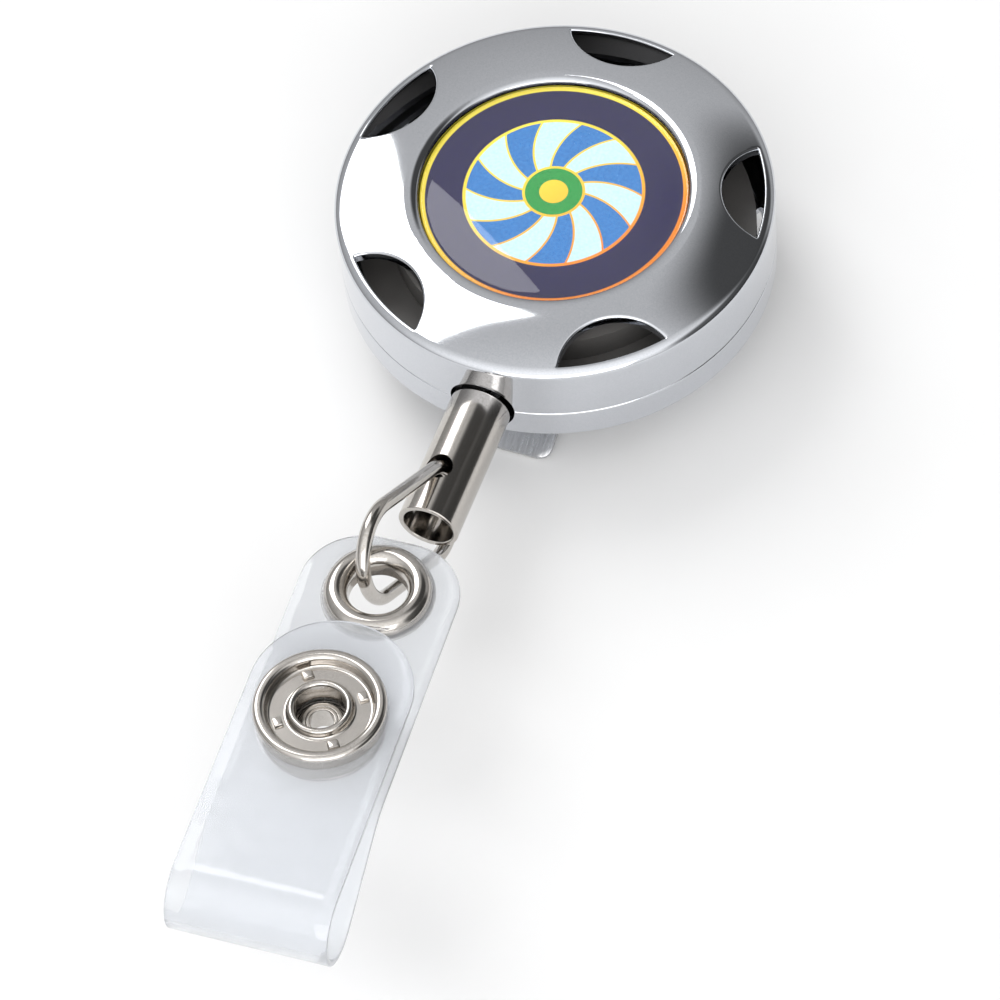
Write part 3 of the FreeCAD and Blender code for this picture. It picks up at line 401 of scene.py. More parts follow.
def make_piece(name, points, faces, material, place=None, sharp=35):
    """Mesh object from points in millimetres of its own frame, left in the row frame."""
    mesh = bpy.data.meshes.new(name)
    co = np.asarray(points, float)
    if place is not None:
        turn = np.array(place, float)
        co = co @ turn[:3, :3].T + turn[:3, 3]
    mesh.from_pydata((co * MM).tolist(), [], faces)
    mesh.materials.append(material)
    tidy_mesh(mesh, sharp)
    piece = bpy.data.objects.new(name, mesh)
    bpy.context.scene.collection.objects.link(piece)
    return piece


def tidy_mesh(mesh, sharp):
    """Merges doubles, turns faces outwards and shades smooth with real edges kept."""
    work = bmesh.new()
    work.from_mesh(mesh)
    bmesh.ops.remove_doubles(work, verts=work.verts, dist=1e-7)
    bmesh.ops.recalc_face_normals(work, faces=work.faces)
    work.to_mesh(mesh)
    work.free()
    mesh.shade_smooth()
    mesh.set_sharp_from_angle(angle=math.radians(sharp))


def short_arc(centre, first, last):
    """Start angle and sweep of the shorter arc from first to last."""
    start = math.atan2(first.y - centre.y, first.x - centre.x)
    sweep = math.atan2(last.y - centre.y, last.x - centre.x) - start
    return start, (sweep + math.pi) % (2 * math.pi) - math.pi


def rounded(corners, steps=6):
    """Closed outline of (r, z, radius) corners, each rounded by an arc with a held run-out."""
    outline = []
    count = len(corners)
    for index, (x, y, radius) in enumerate(corners):
        corner = Vector((x, y))
        before = Vector(corners[index - 1][:2]) - corner
        after = Vector(corners[(index + 1) % count][:2]) - corner
        if radius <= 0:
            outline.append((x, y))
            continue
        half = before.angle(after) / 2
        reach = min(radius / math.tan(half), before.length * 0.48, after.length * 0.48)
        radius = reach * math.tan(half)
        before.normalize()
        after.normalize()
        centre = corner + (before + after).normalized() * (radius / math.sin(half))
        first = corner + before * reach
        last = corner + after * reach
        hold = radius * 0.12
        outline.append(tuple(first + before * hold))
        start, sweep = short_arc(centre, first, last)
        for step in range(steps + 1):
            turn = start + sweep * step / steps
            outline.append((centre.x + radius * math.cos(turn), centre.y + radius * math.sin(turn)))
        outline.append(tuple(last + after * hold))
    return outline


def arc_points(first, last, bulge, steps=24):
    """Points of an arc from first to last that stands bulge millimetres off its chord."""
    a, b = Vector(first), Vector(last)
    chord = b - a
    radius = (chord.length / 2) ** 2 / (2 * abs(bulge)) + abs(bulge) / 2
    side = Vector((-chord.y, chord.x)).normalized() * (1 if bulge > 0 else -1)
    centre = (a + b) / 2 - side * (radius - abs(bulge))
    start = math.atan2(a.y - centre.y, a.x - centre.x)
    span = 2 * math.atan2(chord.length / 2, radius - abs(bulge))
    sweep = -span if bulge > 0 else span
    turns = [start + sweep * i / steps for i in range(steps + 1)]
    return [(centre.x + radius * math.cos(t), centre.y + radius * math.sin(t)) for t in turns]


def lathe_mesh(outline, segments):
    """Points and faces of a closed (r, z) outline turned about Z."""
    angles = np.linspace(0, 2 * math.pi, segments, endpoint=False)
    profile = np.array(outline, float)
    r, z = np.maximum(profile[:, 0], 0), profile[:, 1]
    points = np.stack(
        [
            np.outer(np.cos(angles), r),
            np.outer(np.sin(angles), r),
            np.broadcast_to(z, (segments, len(z))),
        ],
        axis=-1,
    ).reshape(-1, 3)
    rows = len(z)
    faces = []
    for s in range(segments):
        t = (s + 1) % segments
        for i in range(rows):
            j = (i + 1) % rows
            if r[i] < 1e-9 and r[j] < 1e-9:
                continue
            if r[i] < 1e-9:
                faces.append((s * rows + i, s * rows + j, t * rows + j))
            elif r[j] < 1e-9:
                faces.append((s * rows + i, s * rows + j, t * rows + i))
            else:
                faces.append((s * rows + i, s * rows + j, t * rows + j, t * rows + i))
    return points, faces


def turned(name, outline, material, place, segments=160, sharp=35):
    """A turned or drawn piece from its closed half section."""
    points, faces = lathe_mesh(outline, segments)
    return make_piece(name, points, faces, material, place, sharp)


def swept_tube(name, path, radius, material, closed=False, around=24, place=None):
    """Round wire or cord along a list of points."""
    centres = np.array(path, float)
    count = len(centres)
    if closed:
        tangents = np.roll(centres, -1, 0) - np.roll(centres, 1, 0)
    else:
        tangents = np.gradient(centres, axis=0)
    tangents /= np.linalg.norm(tangents, axis=1)[:, None]
    reference = np.array((0.0, 0.0, 1.0))
    side = np.cross(tangents, reference)
    side /= np.linalg.norm(side, axis=1)[:, None]
    rise = np.cross(side, tangents)
    angles = np.linspace(0, 2 * math.pi, around, endpoint=False)
    ring = side[:, None, :] * np.cos(angles)[None, :, None] + rise[:, None, :] * np.sin(angles)[None, :, None]
    points = (centres[:, None, :] + ring * radius).reshape(-1, 3).tolist()
    faces = []
    for i in range(count if closed else count - 1):
        j = (i + 1) % count
        for k in range(around):
            m = (k + 1) % around
            faces.append((i * around + k, j * around + k, j * around + m, i * around + m))
    if not closed:
        faces.append(tuple(range(around)))
        faces.append(tuple(reversed(range((count - 1) * around, count * around))))
    return make_piece(name, points, faces, material, place)


def modify(piece, kind, **settings):
    """Adds a modifier, applies it through the evaluated mesh and removes it."""
    modifier = piece.modifiers.new(kind.title(), kind)
    for name, value in settings.items():
        setattr(modifier, name, value)
    settle(piece)
    return piece


def settle(piece):
    """Replaces a piece's mesh by its evaluated one, with no modifier left."""
    depsgraph = bpy.context.evaluated_depsgraph_get()
    depsgraph.update()
    plain = bpy.data.meshes.new_from_object(piece.evaluated_get(depsgraph), depsgraph=depsgraph)
    piece.modifiers.clear()
    piece.data = plain
    return piece


def cut(piece, cutter, sharp=35):
    """Cuts a piece by another mesh and removes the cutter."""
    modify(piece, "BOOLEAN", operation="DIFFERENCE", object=cutter, solver="EXACT")
    bpy.data.objects.remove(cutter)
    piece.data.shade_smooth()
    piece.data.set_sharp_from_angle(angle=math.radians(sharp))
    return piece


def join(name, *pieces):
    """Joins pieces of one body into one mesh."""
    whole = bmesh.new()
    for piece in pieces:
        whole.from_mesh(piece.data)
    mesh = bpy.data.meshes.new(name)
    whole.to_mesh(mesh)
    whole.free()
    for material in pieces[0].data.materials:
        mesh.materials.append(material)
    for piece in pieces:
        bpy.data.objects.remove(piece)
    joined = bpy.data.objects.new(name, mesh)
    bpy.context.scene.collection.objects.link(joined)
    mesh.shade_smooth()
    mesh.set_sharp_from_angle(angle=math.radians(35))
    return joined


# ------------------------------------------------------------------ repeats


def repeat_tree(name):
    """Geometry Nodes tree: repeats a piece round the Z axis or along Y, welds it, sets its finish."""
    tree = bpy.data.node_groups.new(name, "GeometryNodeTree")
    face = tree.interface
    face.new_socket("Piece", in_out="INPUT", socket_type="NodeSocketGeometry")
    for label, kind in (
        ("Count", "NodeSocketInt"),
        ("Turn", "NodeSocketFloat"),
        ("Step", "NodeSocketFloat"),
        ("Weld", "NodeSocketFloat"),
        ("Finish", "NodeSocketMaterial"),
    ):
        face.new_socket(label, in_out="INPUT", socket_type=kind)
    face.new_socket("Pieces", in_out="OUTPUT", socket_type="NodeSocketGeometry")
    given = add(tree, "NodeGroupInput").outputs
    index = add(tree, "GeometryNodeInputIndex").outputs["Index"]
    along = add(tree, "ShaderNodeMath", {0: index, 1: given["Step"]}, operation="MULTIPLY").outputs[0]
    place = add(tree, "ShaderNodeCombineXYZ", {"Y": along}).outputs["Vector"]
    dots = add(tree, "GeometryNodePoints", {"Count": given["Count"], "Position": place}).outputs[0]
    turn = add(tree, "ShaderNodeMath", {0: index, 1: given["Turn"]}, operation="MULTIPLY").outputs[0]
    rotation = add(tree, "ShaderNodeCombineXYZ", {"Z": turn}).outputs["Vector"]
    copies = add(
        tree,
        "GeometryNodeInstanceOnPoints",
        {"Points": dots, "Instance": given["Piece"], "Rotation": rotation},
    ).outputs["Instances"]
    real = add(tree, "GeometryNodeRealizeInstances", {"Geometry": copies}).outputs["Geometry"]
    weld = {"Geometry": real, "Distance": given["Weld"]}
    welded = add(tree, "GeometryNodeMergeByDistance", weld).outputs[0]
    done = add(tree, "GeometryNodeSetMaterial", {"Geometry": welded, "Material": given["Finish"]})
    output = add(tree, "NodeGroupOutput")
    tree.links.new(done.outputs["Geometry"], output.inputs["Pieces"])
    return tree


round_repeat = repeat_tree("repeat_round_axis")


def repeat(piece, material, count, turn=0.0, step=0.0, weld=1e-6):
    """Repeats a piece with the tree and leaves a plain mesh."""
    modifier = piece.modifiers.new("repeat", "NODES")
    modifier.node_group = round_repeat
    wanted = {"Count": count, "Turn": turn, "Step": step, "Weld": weld, "Finish": material}
    for item in round_repeat.interface.items_tree:
        if item.in_out == "INPUT" and item.name in wanted:
            modifier[item.identifier] = wanted[item.name]
    settle(piece)
    piece.data.shade_smooth()
    piece.data.set_sharp_from_angle(angle=math.radians(35))
    return piece


def hand_over(piece, body, node):
    """States the body a piece rides on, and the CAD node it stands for."""
    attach(piece, body)
    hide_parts(node)


# ------------------------------------------------------------------ case shells

WINDOWS = 5
WALL = 0.9
WINDOW_R = CASE - 1
WINDOW_INNER = 15.2
WINDOW_HALF = math.radians(15.1)
EDGE = 0.24
half_chord = WINDOW_R * math.sin(WINDOW_HALF)
corner_y = WINDOW_R * math.cos(WINDOW_HALF)
sagitta = corner_y - WINDOW_INNER
INNER_ARC = (half_chord**2 + sagitta**2) / (2 * sagitta)
ARC_CENTRE = WINDOW_INNER + INNER_ARC


def window_start(angle):
    """Radius where a window starts, in the direction at this angle from its middle."""
    inside = np.abs(angle) < WINDOW_HALF
    root = np.sqrt(np.maximum(INNER_ARC**2 - (ARC_CENTRE * np.sin(angle)) ** 2, 0))
    return np.where(inside, ARC_CENTRE * np.cos(angle) - root, WINDOW_R)


def window_distance(x, y):
    """Distance to the window's outline for points round it; its middle lies on +Y."""
    r = np.hypot(x, y)
    angle = np.abs(np.arctan2(x, y))
    corner = np.hypot(np.abs(x) - half_chord, y - corner_y)
    to_outer = np.where(angle <= WINDOW_HALF, np.abs(r - WINDOW_R), corner)
    arc_angle = np.abs(np.arctan2(x, ARC_CENTRE - y))
    arc_limit = math.atan2(half_chord, ARC_CENTRE - corner_y)
    to_inner = np.where(arc_angle <= arc_limit, np.abs(np.hypot(x, y - ARC_CENTRE) - INNER_ARC), corner)
    return np.where(r >= WINDOW_R - 1e-6, to_outer, np.minimum(to_inner, corner))


def edge_drop(distance):
    """How far the rounded window edge falls below the face at this distance from it."""
    near = np.clip(EDGE - distance, 0, EDGE)
    return EDGE - np.sqrt(np.maximum(EDGE**2 - near**2, 0))


def shell_sector(name, middle, face_height, r_start, shoulder, inside, underside, material):
    """One fifth of a shell with its window in the middle, built on the seam and pointing up.

    middle is the (r, z) outline from the axis to the face, face_height the face's height at a
    radius, shoulder the outline from the window's outer edge to the seam, inside its way back
    up, underside the way back to the axis.
    """
    sector = math.pi / WINDOWS
    window_columns = WINDOW_HALF * np.sin(np.linspace(-math.pi / 2, math.pi / 2, 57))
    outside = WINDOW_HALF + (sector - WINDOW_HALF) * np.linspace(0, 1, 25)[1:] ** 1.4
    angles = np.concatenate([-outside[::-1], window_columns, outside])
    starts = window_start(angles)
    in_window = np.abs(angles) < WINDOW_HALF + 1e-9
    share = np.concatenate([np.linspace(0, 0.8, 15), 1 - 0.2 * (1 - np.linspace(0, 1, 17)[1:]) ** 1.7])
    points, faces = [], []

    def column_point(angle, r, z):
        points.append((r * math.sin(angle), r * math.cos(angle), z))
        return len(points) - 1

    grid, under, outer, wall_in, wall_out = [], [], [], [], []
    for angle, start in zip(angles, starts):
        radii = r_start + (start - r_start) * share
        x, y = radii * math.sin(angle), radii * math.cos(angle)
        heights = face_height(radii) - edge_drop(window_distance(x, y))
        line = middle + list(zip(radii, heights))
        grid.append([column_point(angle, r, z) for r, z in line])
        low = face_height(np.array([start]))[0] - WALL
        wall_in.append(column_point(angle, start, low))
        under.append([column_point(angle, r, z) for r, z in underside])
        line = np.array(shoulder)
        x, y = line[:, 0] * math.sin(angle), line[:, 0] * math.cos(angle)
        drop = edge_drop(window_distance(x, y))
        outer.append([column_point(angle, r, z - d) for (r, z), d in zip(shoulder, drop)])
        wall_out.append([column_point(angle, r, z) for r, z in inside])
    for c in range(len(angles) - 1):
        d = c + 1
        opened = in_window[c] and in_window[d]
        for i in range(len(grid[c]) - 1):
            faces.append((grid[c][i], grid[c][i + 1], grid[d][i + 1], grid[d][i]))
        for i in range(len(shoulder) - 1):
            faces.append((outer[c][i], outer[c][i + 1], outer[d][i + 1], outer[d][i]))
        faces.append((outer[c][-1], wall_out[c][0], wall_out[d][0], outer[d][-1]))
        for i in range(len(inside) - 1):
            faces.append((wall_out[c][i], wall_out[c][i + 1], wall_out[d][i + 1], wall_out[d][i]))
        for i in range(len(under[c]) - 1):
            faces.append((under[c][i], under[c][i + 1], under[d][i + 1], under[d][i]))
        faces.append((wall_in[c], under[c][0], under[d][0], wall_in[d]))
        if opened:
            faces.append((grid[c][-1], wall_in[c], wall_in[d], grid[d][-1]))
            faces.append((outer[c][0], wall_out[c][-1], wall_out[d][-1], outer[d][0]))
        else:
            faces.append((wall_out[c][-1], wall_in[c], wall_in[d], wall_out[d][-1]))
    # Welding joins the face's rim to the shoulder's first row wherever no window parts them.
    return make_piece(name, points, faces, material)


def nozzle_half(name, material):
    """Half of the eight-sided nozzle above the seam, tapering away from the case."""
    sections = []
    root_y = -19.1
    for y, grow in ((root_y, 1.24), (-CASE - 1.2, 1.0)):
        side, corner, height, top = 3.9 * grow, 2.0 * grow, 3.4 * grow, 1.4 * grow
        right = [(side, 0.02), (side, corner), (top, height)]
        outline = [(-side, 0.02)] + right + [(-top, height), (-side, corner)]
        sections.append([(x, y, z) for x, z in outline])
    work = bmesh.new()
    rows = [[work.verts.new(p) for p in section] for section in sections]
    count = len(rows[0])
    for i in range(count):
        j = (i + 1) % count
        work.faces.new((rows[0][i], rows[0][j], rows[1][j], rows[1][i]))
    work.faces.new(rows[0])
    work.faces.new(rows[1])
    bmesh.ops.recalc_face_normals(work, faces=work.faces)
    chosen = [e for e in work.edges if not all(abs(v.co.y - root_y) < 1e-6 for v in e.verts)]
    chosen = [e for e in chosen if not all(v.co.z < 0.05 for v in e.verts)]
    eased = {"offset": 0.2, "segments": 4, "profile": 0.5, "clamp_overlap": True}
    bmesh.ops.bevel(work, geom=chosen, affect="EDGES", **eased)
    work.verts.index_update()
    points = [tuple(v.co) for v in work.verts]
    faces = [tuple(v.index for v in f.verts) for f in work.faces]
    work.free()
    return make_piece(name, points, faces, material)


def nozzle_bore(name, material):
    """Cutter for the bore that the sleeve seats in, flared at its mouth."""
    outline = [(0, 17.5), (3.05, 17.5), (3.05, CASE + 0.95), (3.35, CASE + 1.4), (0, CASE + 1.4)]
    points, faces = lathe_mesh(outline, 96)
    return make_piece(name, points, faces, material, QUARTER_TURN)


def shell(name, sector, upwards):
    """Turns a sector into a whole shell with its half of the nozzle, and puts it in place."""
    whole = repeat(sector, polished_chrome_plate, WINDOWS, turn=2 * math.pi / WINDOWS, weld=2e-6)
    nozzle = nozzle_half(name + "_nozzle", polished_chrome_plate)
    whole = join(name, whole, nozzle)
    cut(whole, nozzle_bore(name + "_bore", polished_chrome_plate))
    flip = Matrix.Identity(4) if upwards else Matrix.Scale(-1, 4, (0, 0, 1))
    whole.data.transform(Matrix.Translation((0, 0, SEAM * MM)) @ flip)
    if not upwards:
        whole.data.flip_normals()
    return whole


# The wall's edge, eased where the two shells meet.
SEAM_EDGE = [(CASE, 0.16), (CASE - 0.02, 0.08), (CASE - 0.08, 0.02), (CASE - 0.14, 0.0)]


def rim_rows(face_height):
    """First three rows of a shoulder, on the face just outside the windows."""
    radii = (WINDOW_R, WINDOW_R + 0.05, WINDOW_R + 0.1)
    return [(r, float(face_height(np.array([r]))[0])) for r in radii]


def front_face(r):
    """Height of the front's crown above the seam."""
    crest, crest_z, foot, foot_z = 13.2, 7.0, CASE - 0.85, 5.97
    bulge = 0.143
    t = np.clip((r - crest) / (foot - crest), -0.2, 1.3)
    crown = crest_z + (foot_z - crest_z) * t + bulge * 4 * t * (1 - t)
    return np.where(r < crest, crest_z - 0.16 * ((crest - r) / 0.75) ** 2, crown)


def front_shell():
    """Upper casting: recess, crown with five windows, rounded shoulder and side wall."""
    rim_r = 12.45
    rim_z = float(front_face(np.array([rim_r]))[0])
    shoulder = rim_rows(front_face)
    shoulder += rounded_run((CASE - 0.85, 5.97), (CASE, 5.25), slope=-0.3, steps=12)
    shoulder += [(CASE, 5.1), (CASE, 3.5), (CASE, 1.8), (CASE, 0.3)]
    shoulder += SEAM_EDGE
    inside = [(CASE - WALL, 0.0), (CASE - WALL, 4.4), (WINDOW_R, 5.05)]
    underside = [(13.2, 5.9), (13.2, 4.7), (0.0, 4.7)]
    recess = [(0, 5.6), (6, 5.6), (12.2, 5.6), (12.3, 5.65), (12.3, rim_z - 0.34)]
    recess += [(12.31, rim_z - 0.24), (12.34, rim_z - 0.13), (12.39, rim_z - 0.05)]
    sector = shell_sector(
        "front_sector", recess, front_face, rim_r, shoulder, inside, underside, polished_chrome_plate
    )
    return shell("case_front_shell", sector, upwards=True)


def rounded_run(first, last, slope, steps):
    """Quarter-round from a nearly flat face to a wall, starting at the face's slope."""
    x0, z0 = first
    x1, z1 = last
    points = []
    for i in range(1, steps + 1):
        t = i / steps
        control = (x1, z0 + slope * (x1 - x0))
        x = (1 - t) ** 2 * x0 + 2 * t * (1 - t) * control[0] + t**2 * x1
        z = (1 - t) ** 2 * z0 + 2 * t * (1 - t) * control[1] + t**2 * z1
        points.append((x, z))
    return [(x0, z0)] + points


def back_face(r):
    """Depth of the back below the seam: a flat plate and a slope tangent to it."""
    flat, foot = 13.3, CASE - 0.85
    drop = BACK - 3.64
    t = np.clip((r - flat) / (foot - flat), 0, 1.3)
    return BACK - drop * t**2


def back_shell():
    """Lower casting: flat back plate, sloping shoulder with five windows, side wall."""
    foot = CASE - 0.85
    shoulder = rim_rows(back_face)
    shoulder += rounded_run((foot, 3.64), (CASE, 3.0), slope=-0.45, steps=12)
    shoulder += [(CASE, 2.8), (CASE, 1.6), (CASE, 0.3)]
    shoulder += SEAM_EDGE
    inside = [(CASE - WALL, 0.0), (CASE - WALL, 2.4), (WINDOW_R, 2.8)]
    plate = [(0, BACK), (6.0, BACK), (12.0, BACK), (13.1, BACK)]
    underside = [(13.3, BACK - WALL), (0.0, BACK - WALL)]
    sector = shell_sector(
        "back_sector", plate, back_face, 13.3, shoulder, inside, underside, polished_chrome_plate
    )
    return shell("case_back_shell", sector, upwards=False)


front = front_shell()
back = back_shell()
for piece, node in ((front, "front_shell"), (back, "back_shell")):
    hand_over(piece, "case", node)

# ------------------------------------------------------------------ label

plate_low, plate_high = box_mm("label_plate")
PLATE_R = plate_high.x
plate_outline = rounded(
    [(0, plate_low.z, 0), (PLATE_R, plate_low.z, 0), (PLATE_R, plate_high.z, 0.06), (0, plate_high.z, 0)], 3
)
plate = turned("label_disc", plate_outline, label_print, Matrix.Identity(4), 192)
hand_over(plate, "case", "label_plate")

dome_low, dome_high = box_mm("label_dome")
dome_edge = dome_low.z + 0.3
dome_outline = [(0, dome_low.z + 0.01), (PLATE_R - 0.05, dome_low.z + 0.01), (PLATE_R, dome_low.z + 0.06)]
dome_outline += arc_points((PLATE_R, dome_edge - 0.06), (PLATE_R - 0.35, dome_edge + 0.06), -0.06, 6)
for i in range(1, 41):
    t = i / 40
    r = (PLATE_R - 0.35) * (1 - t)
    share = r / PLATE_R
    dome_outline.append((r, dome_edge + (dome_high.z - dome_edge) * (1 - share**2)))
dome = turned("label_dome_cast", dome_outline, dome_epoxy, Matrix.Identity(4), 192)
dome.visible_shadow = False
hand_over(dome, "case", "label_dome")

# ------------------------------------------------------------------ strips: clip and strap


def run_with_arcs(corners, step=0.35):
    """Side path of a strip through (y, z, radius) corners: straight runs and tangent arcs."""
    path = [Vector(corners[0][:2])]
    for before, corner, after in zip(corners[:-2], corners[1:-1], corners[2:]):
        here = Vector(corner[:2])
        back = (Vector(before[:2]) - here).normalized()
        ahead = (Vector(after[:2]) - here).normalized()
        half = back.angle(ahead) / 2
        reach = corner[2] / math.tan(half)
        centre = here + (back + ahead).normalized() * (corner[2] / math.sin(half))
        first, last = here + back * reach, here + ahead * reach
        start, sweep = short_arc(centre, first, last)
        steps = max(10, int(abs(sweep) * corner[2] / step))
        for i in range(steps + 1):
            turn = start + sweep * i / steps
            path.append(centre + Vector((math.cos(turn), math.sin(turn))) * corner[2])
    path.append(Vector(corners[-1][:2]))
    return path


class SidePath:
    """A strip's middle line seen from the side, addressed by the length along it."""

    def __init__(self, points):
        self.points = np.array([tuple(p) for p in points])
        legs = np.linalg.norm(np.diff(self.points, axis=0), axis=1)
        keep = np.concatenate([[True], legs > 1e-6])
        self.points = self.points[keep]
        legs = np.linalg.norm(np.diff(self.points, axis=0), axis=1)
        self.stations = np.concatenate([[0], np.cumsum(legs)])
        self.length = float(self.stations[-1])
        tangents = np.gradient(self.points, self.stations, axis=0)
        self.tangents = tangents / np.linalg.norm(tangents, axis=1)[:, None]

    def place(self, s, offset):
        """(y, z) at length s, shifted by offset to the path's left."""
        y = np.interp(s, self.stations, self.points[:, 0])
        z = np.interp(s, self.stations, self.points[:, 1])
        ty = np.interp(s, self.stations, self.tangents[:, 0])
        tz = np.interp(s, self.stations, self.tangents[:, 1])
        size = np.hypot(ty, tz)
        return y - offset * tz / size, z + offset * ty / size


def flat_strip(name, length, width, thickness, material, start_round, end_round, step, caps=(True, True)):
    """Flat strip along +Y from 0 to its length, with rounded ends and eased edges."""
    ends = []
    if start_round:
        ends.append(start_round * (1 - np.cos(np.linspace(0, math.pi / 2, 19)))[:-1])
    low = start_round
    high = length - end_round
    ends.append(np.linspace(low, high, max(3, int((high - low) / step))))
    if end_round:
        ends.append(length - end_round * (1 - np.cos(np.linspace(math.pi / 2, 0, 19)))[1:])
    stations = np.concatenate(ends)
    half = width / 2
    ease = min(0.12, thickness * 0.3)

    def half_width(s):
        if start_round and s < start_round:
            return half - start_round + math.sqrt(max(start_round**2 - (start_round - s) ** 2, 0))
        if end_round and s > length - end_round:
            return half - end_round + math.sqrt(max(end_round**2 - (end_round - length + s) ** 2, 0))
        return half

    shares = np.linspace(-1, 1, 13)
    points, faces = [], []
    for s in stations:
        w = max(half_width(s), ease * 1.5)
        inner = w - ease
        section = [(x * inner, thickness / 2) for x in shares]
        section += [(w - ease * 0.3, thickness / 2 - ease * 0.3), (w, thickness / 2 - ease)]
        section += [(w, ease - thickness / 2), (w - ease * 0.3, ease * 0.3 - thickness / 2)]
        section += [(x * inner, -thickness / 2) for x in shares[::-1]]
        section += [(ease * 0.3 - w, ease * 0.3 - thickness / 2), (-w, ease - thickness / 2)]
        section += [(-w, thickness / 2 - ease), (ease * 0.3 - w, thickness / 2 - ease * 0.3)]
        points += [(x, s, z) for x, z in section]
    count = len(section)
    for i in range(len(stations) - 1):
        for k in range(count):
            m = (k + 1) % count
            faces.append((i * count + k, i * count + m, (i + 1) * count + m, (i + 1) * count + k))
    if caps[0]:
        faces.append(tuple(range(count)))
    if caps[1]:
        faces.append(tuple(range(count * (len(stations) - 1), count * len(stations))))
    return make_piece(name, points, faces, material, sharp=40)


def round_cutter(name, y, radius, depth, material):
    points, faces = lathe_mesh([(0, -depth), (radius, -depth), (radius, depth), (0, depth)], 72)
    return make_piece(name, points, faces, material, Matrix.Translation((0, y, 0)))


def bend_strip(strip, path, place, sharp=40):
    """Lays a flat strip along a side path and puts it in the row frame."""
    mesh = strip.data
    co = np.zeros(len(mesh.vertices) * 3)
    mesh.vertices.foreach_get("co", co)
    co = co.reshape(-1, 3) / MM
    y, z = path.place(co[:, 1], co[:, 2])
    laid = np.stack([co[:, 0], y, z], axis=1)
    turn = np.array(place, float)
    laid = (laid @ turn[:3, :3].T + turn[:3, 3]) * MM
    mesh.vertices.foreach_set("co", laid.ravel())
    mesh.update()
    tidy_mesh(mesh, sharp)
    return strip


STRIP = 0.5
foot_low, foot_high = box_mm("clip_foot")
tongue_low, tongue_high = box_mm("clip_tongue")
BEND_R = 2.45
BEND_AT = 17.3
bend_mid_r = BEND_R - STRIP / 2
bend_middle = [
    (BEND_AT + bend_mid_r * math.cos(a), -BEND_R + bend_mid_r * math.sin(a))
    for a in np.linspace(math.pi / 2, 0, 15)
]


def clip_foot():
    """Fixed leaf, riveted flat to the back plate, up to the middle of its bend."""
    path = SidePath([(foot_low.y, -STRIP / 2), (BEND_AT - 0.5, -STRIP / 2)] + bend_middle)
    width = foot_high.x - foot_low.x
    strip = flat_strip("clip_foot_leaf", path.length, width, STRIP, clip_steel, 0.8, 0, 0.5)
    return bend_strip(strip, path, Matrix.Identity(4))


def clip_tongue():
    """Springing leaf: lower half of the bend, sloping blade, knee and flared lip."""
    lower = [(y, -2 * BEND_R - z) for y, z in bend_middle[::-1]]
    low = tongue_low.z + STRIP / 2
    knee = run_with_arcs([(BEND_AT - 0.8, low + 0.05, 0), (-8.7, -1.15, 3.0), (tongue_low.y, low, 0)], 0.25)
    path = SidePath(lower + [tuple(p) for p in knee])
    width = tongue_high.x - tongue_low.x
    strip = flat_strip("clip_tongue_leaf", path.length, width, STRIP, clip_steel, 0, 1.2, 0.5)
    return bend_strip(strip, path, Matrix.Identity(4))


foot = clip_foot()
hand_over(foot, "case", "clip_foot")
tongue = clip_tongue()
hand_over(tongue, "clip_tongue", "clip_tongue")

# Two rivets along Y, each with a domed head under the foot and one inside the plate.
rivet_outline = rounded(
    [
        (0, -1.0, 0),
        (1.0, -1.0, 0.25),
        (2.0, -0.72, 0.2),
        (2.0, -0.5, 0.05),
        (1.1, -0.5, 0),
        (1.1, 0.9, 0.05),
        (0, 0.9, 0),
    ],
    5,
)
rivet_place = Matrix.Translation((0, 1, 0))
rivets = turned("clip_rivet_heads", rivet_outline, barrel_polished_nickel_plate, rivet_place, 64)
repeat(rivets, barrel_polished_nickel_plate, 2, step=9 * MM, weld=1e-7)
hand_over(rivets, "case", "clip_rivets")

# ------------------------------------------------------------------ sleeve, cord and ring


def swivel_sleeve():
    """Drawn tube with a closed, eased end for the cord and a cross hole for the ring."""
    outline = rounded(
        [
            (0.6, 0, 0.08),
            (2.8, 0, 0.35),
            (2.8, SLEEVE_LENGTH, 0.14),
            (2.3, SLEEVE_LENGTH, 0.14),
            (2.3, 1.2, 0.3),
            (0.6, 1.2, 0.08),
        ],
        6,
    )
    sleeve = turned("swivel_sleeve", outline, barrel_polished_nickel_plate, sleeve_place, 160)
    # The cross hole runs along the sleeve's own Y.
    hole = lathe_mesh([(0, -6), (1.3, -6), (1.3, 6), (0, 6)], 64)
    hole_middle = Matrix.Translation((0, 0, SLEEVE_LENGTH - 4.7))
    turn = sleeve_place @ hole_middle @ QUARTER_TURN
    cutter = make_piece("cross_hole", hole[0], hole[1], barrel_polished_nickel_plate, turn)
    return cut(sleeve, cutter)


sleeve = swivel_sleeve()
hand_over(sleeve, "sleeve", "sleeve")


def oval_ring():
    """Closed oval ring of round wire, made without its butt joint."""
    half, straight, wire = 4.2, 9.3, 0.65
    path = []
    for centre, start in ((straight / 2, 0), (-straight / 2, math.pi)):
        for i in range(33):
            angle = start + math.pi * i / 32
            path.append((half * math.cos(angle), centre + half * math.sin(angle), 0))
        for i in range(1, 6):
            side = -1 if centre > 0 else 1
            path.append((side * half, centre * (1 - i / 3), 0))
    return swept_tube("oval_wire_ring", path, wire, barrel_polished_nickel_plate, True, 32, ring_place)


ring = oval_ring()
hand_over(ring, "ring", "oval_ring")

bead_centre = middle_of("cord_bead")


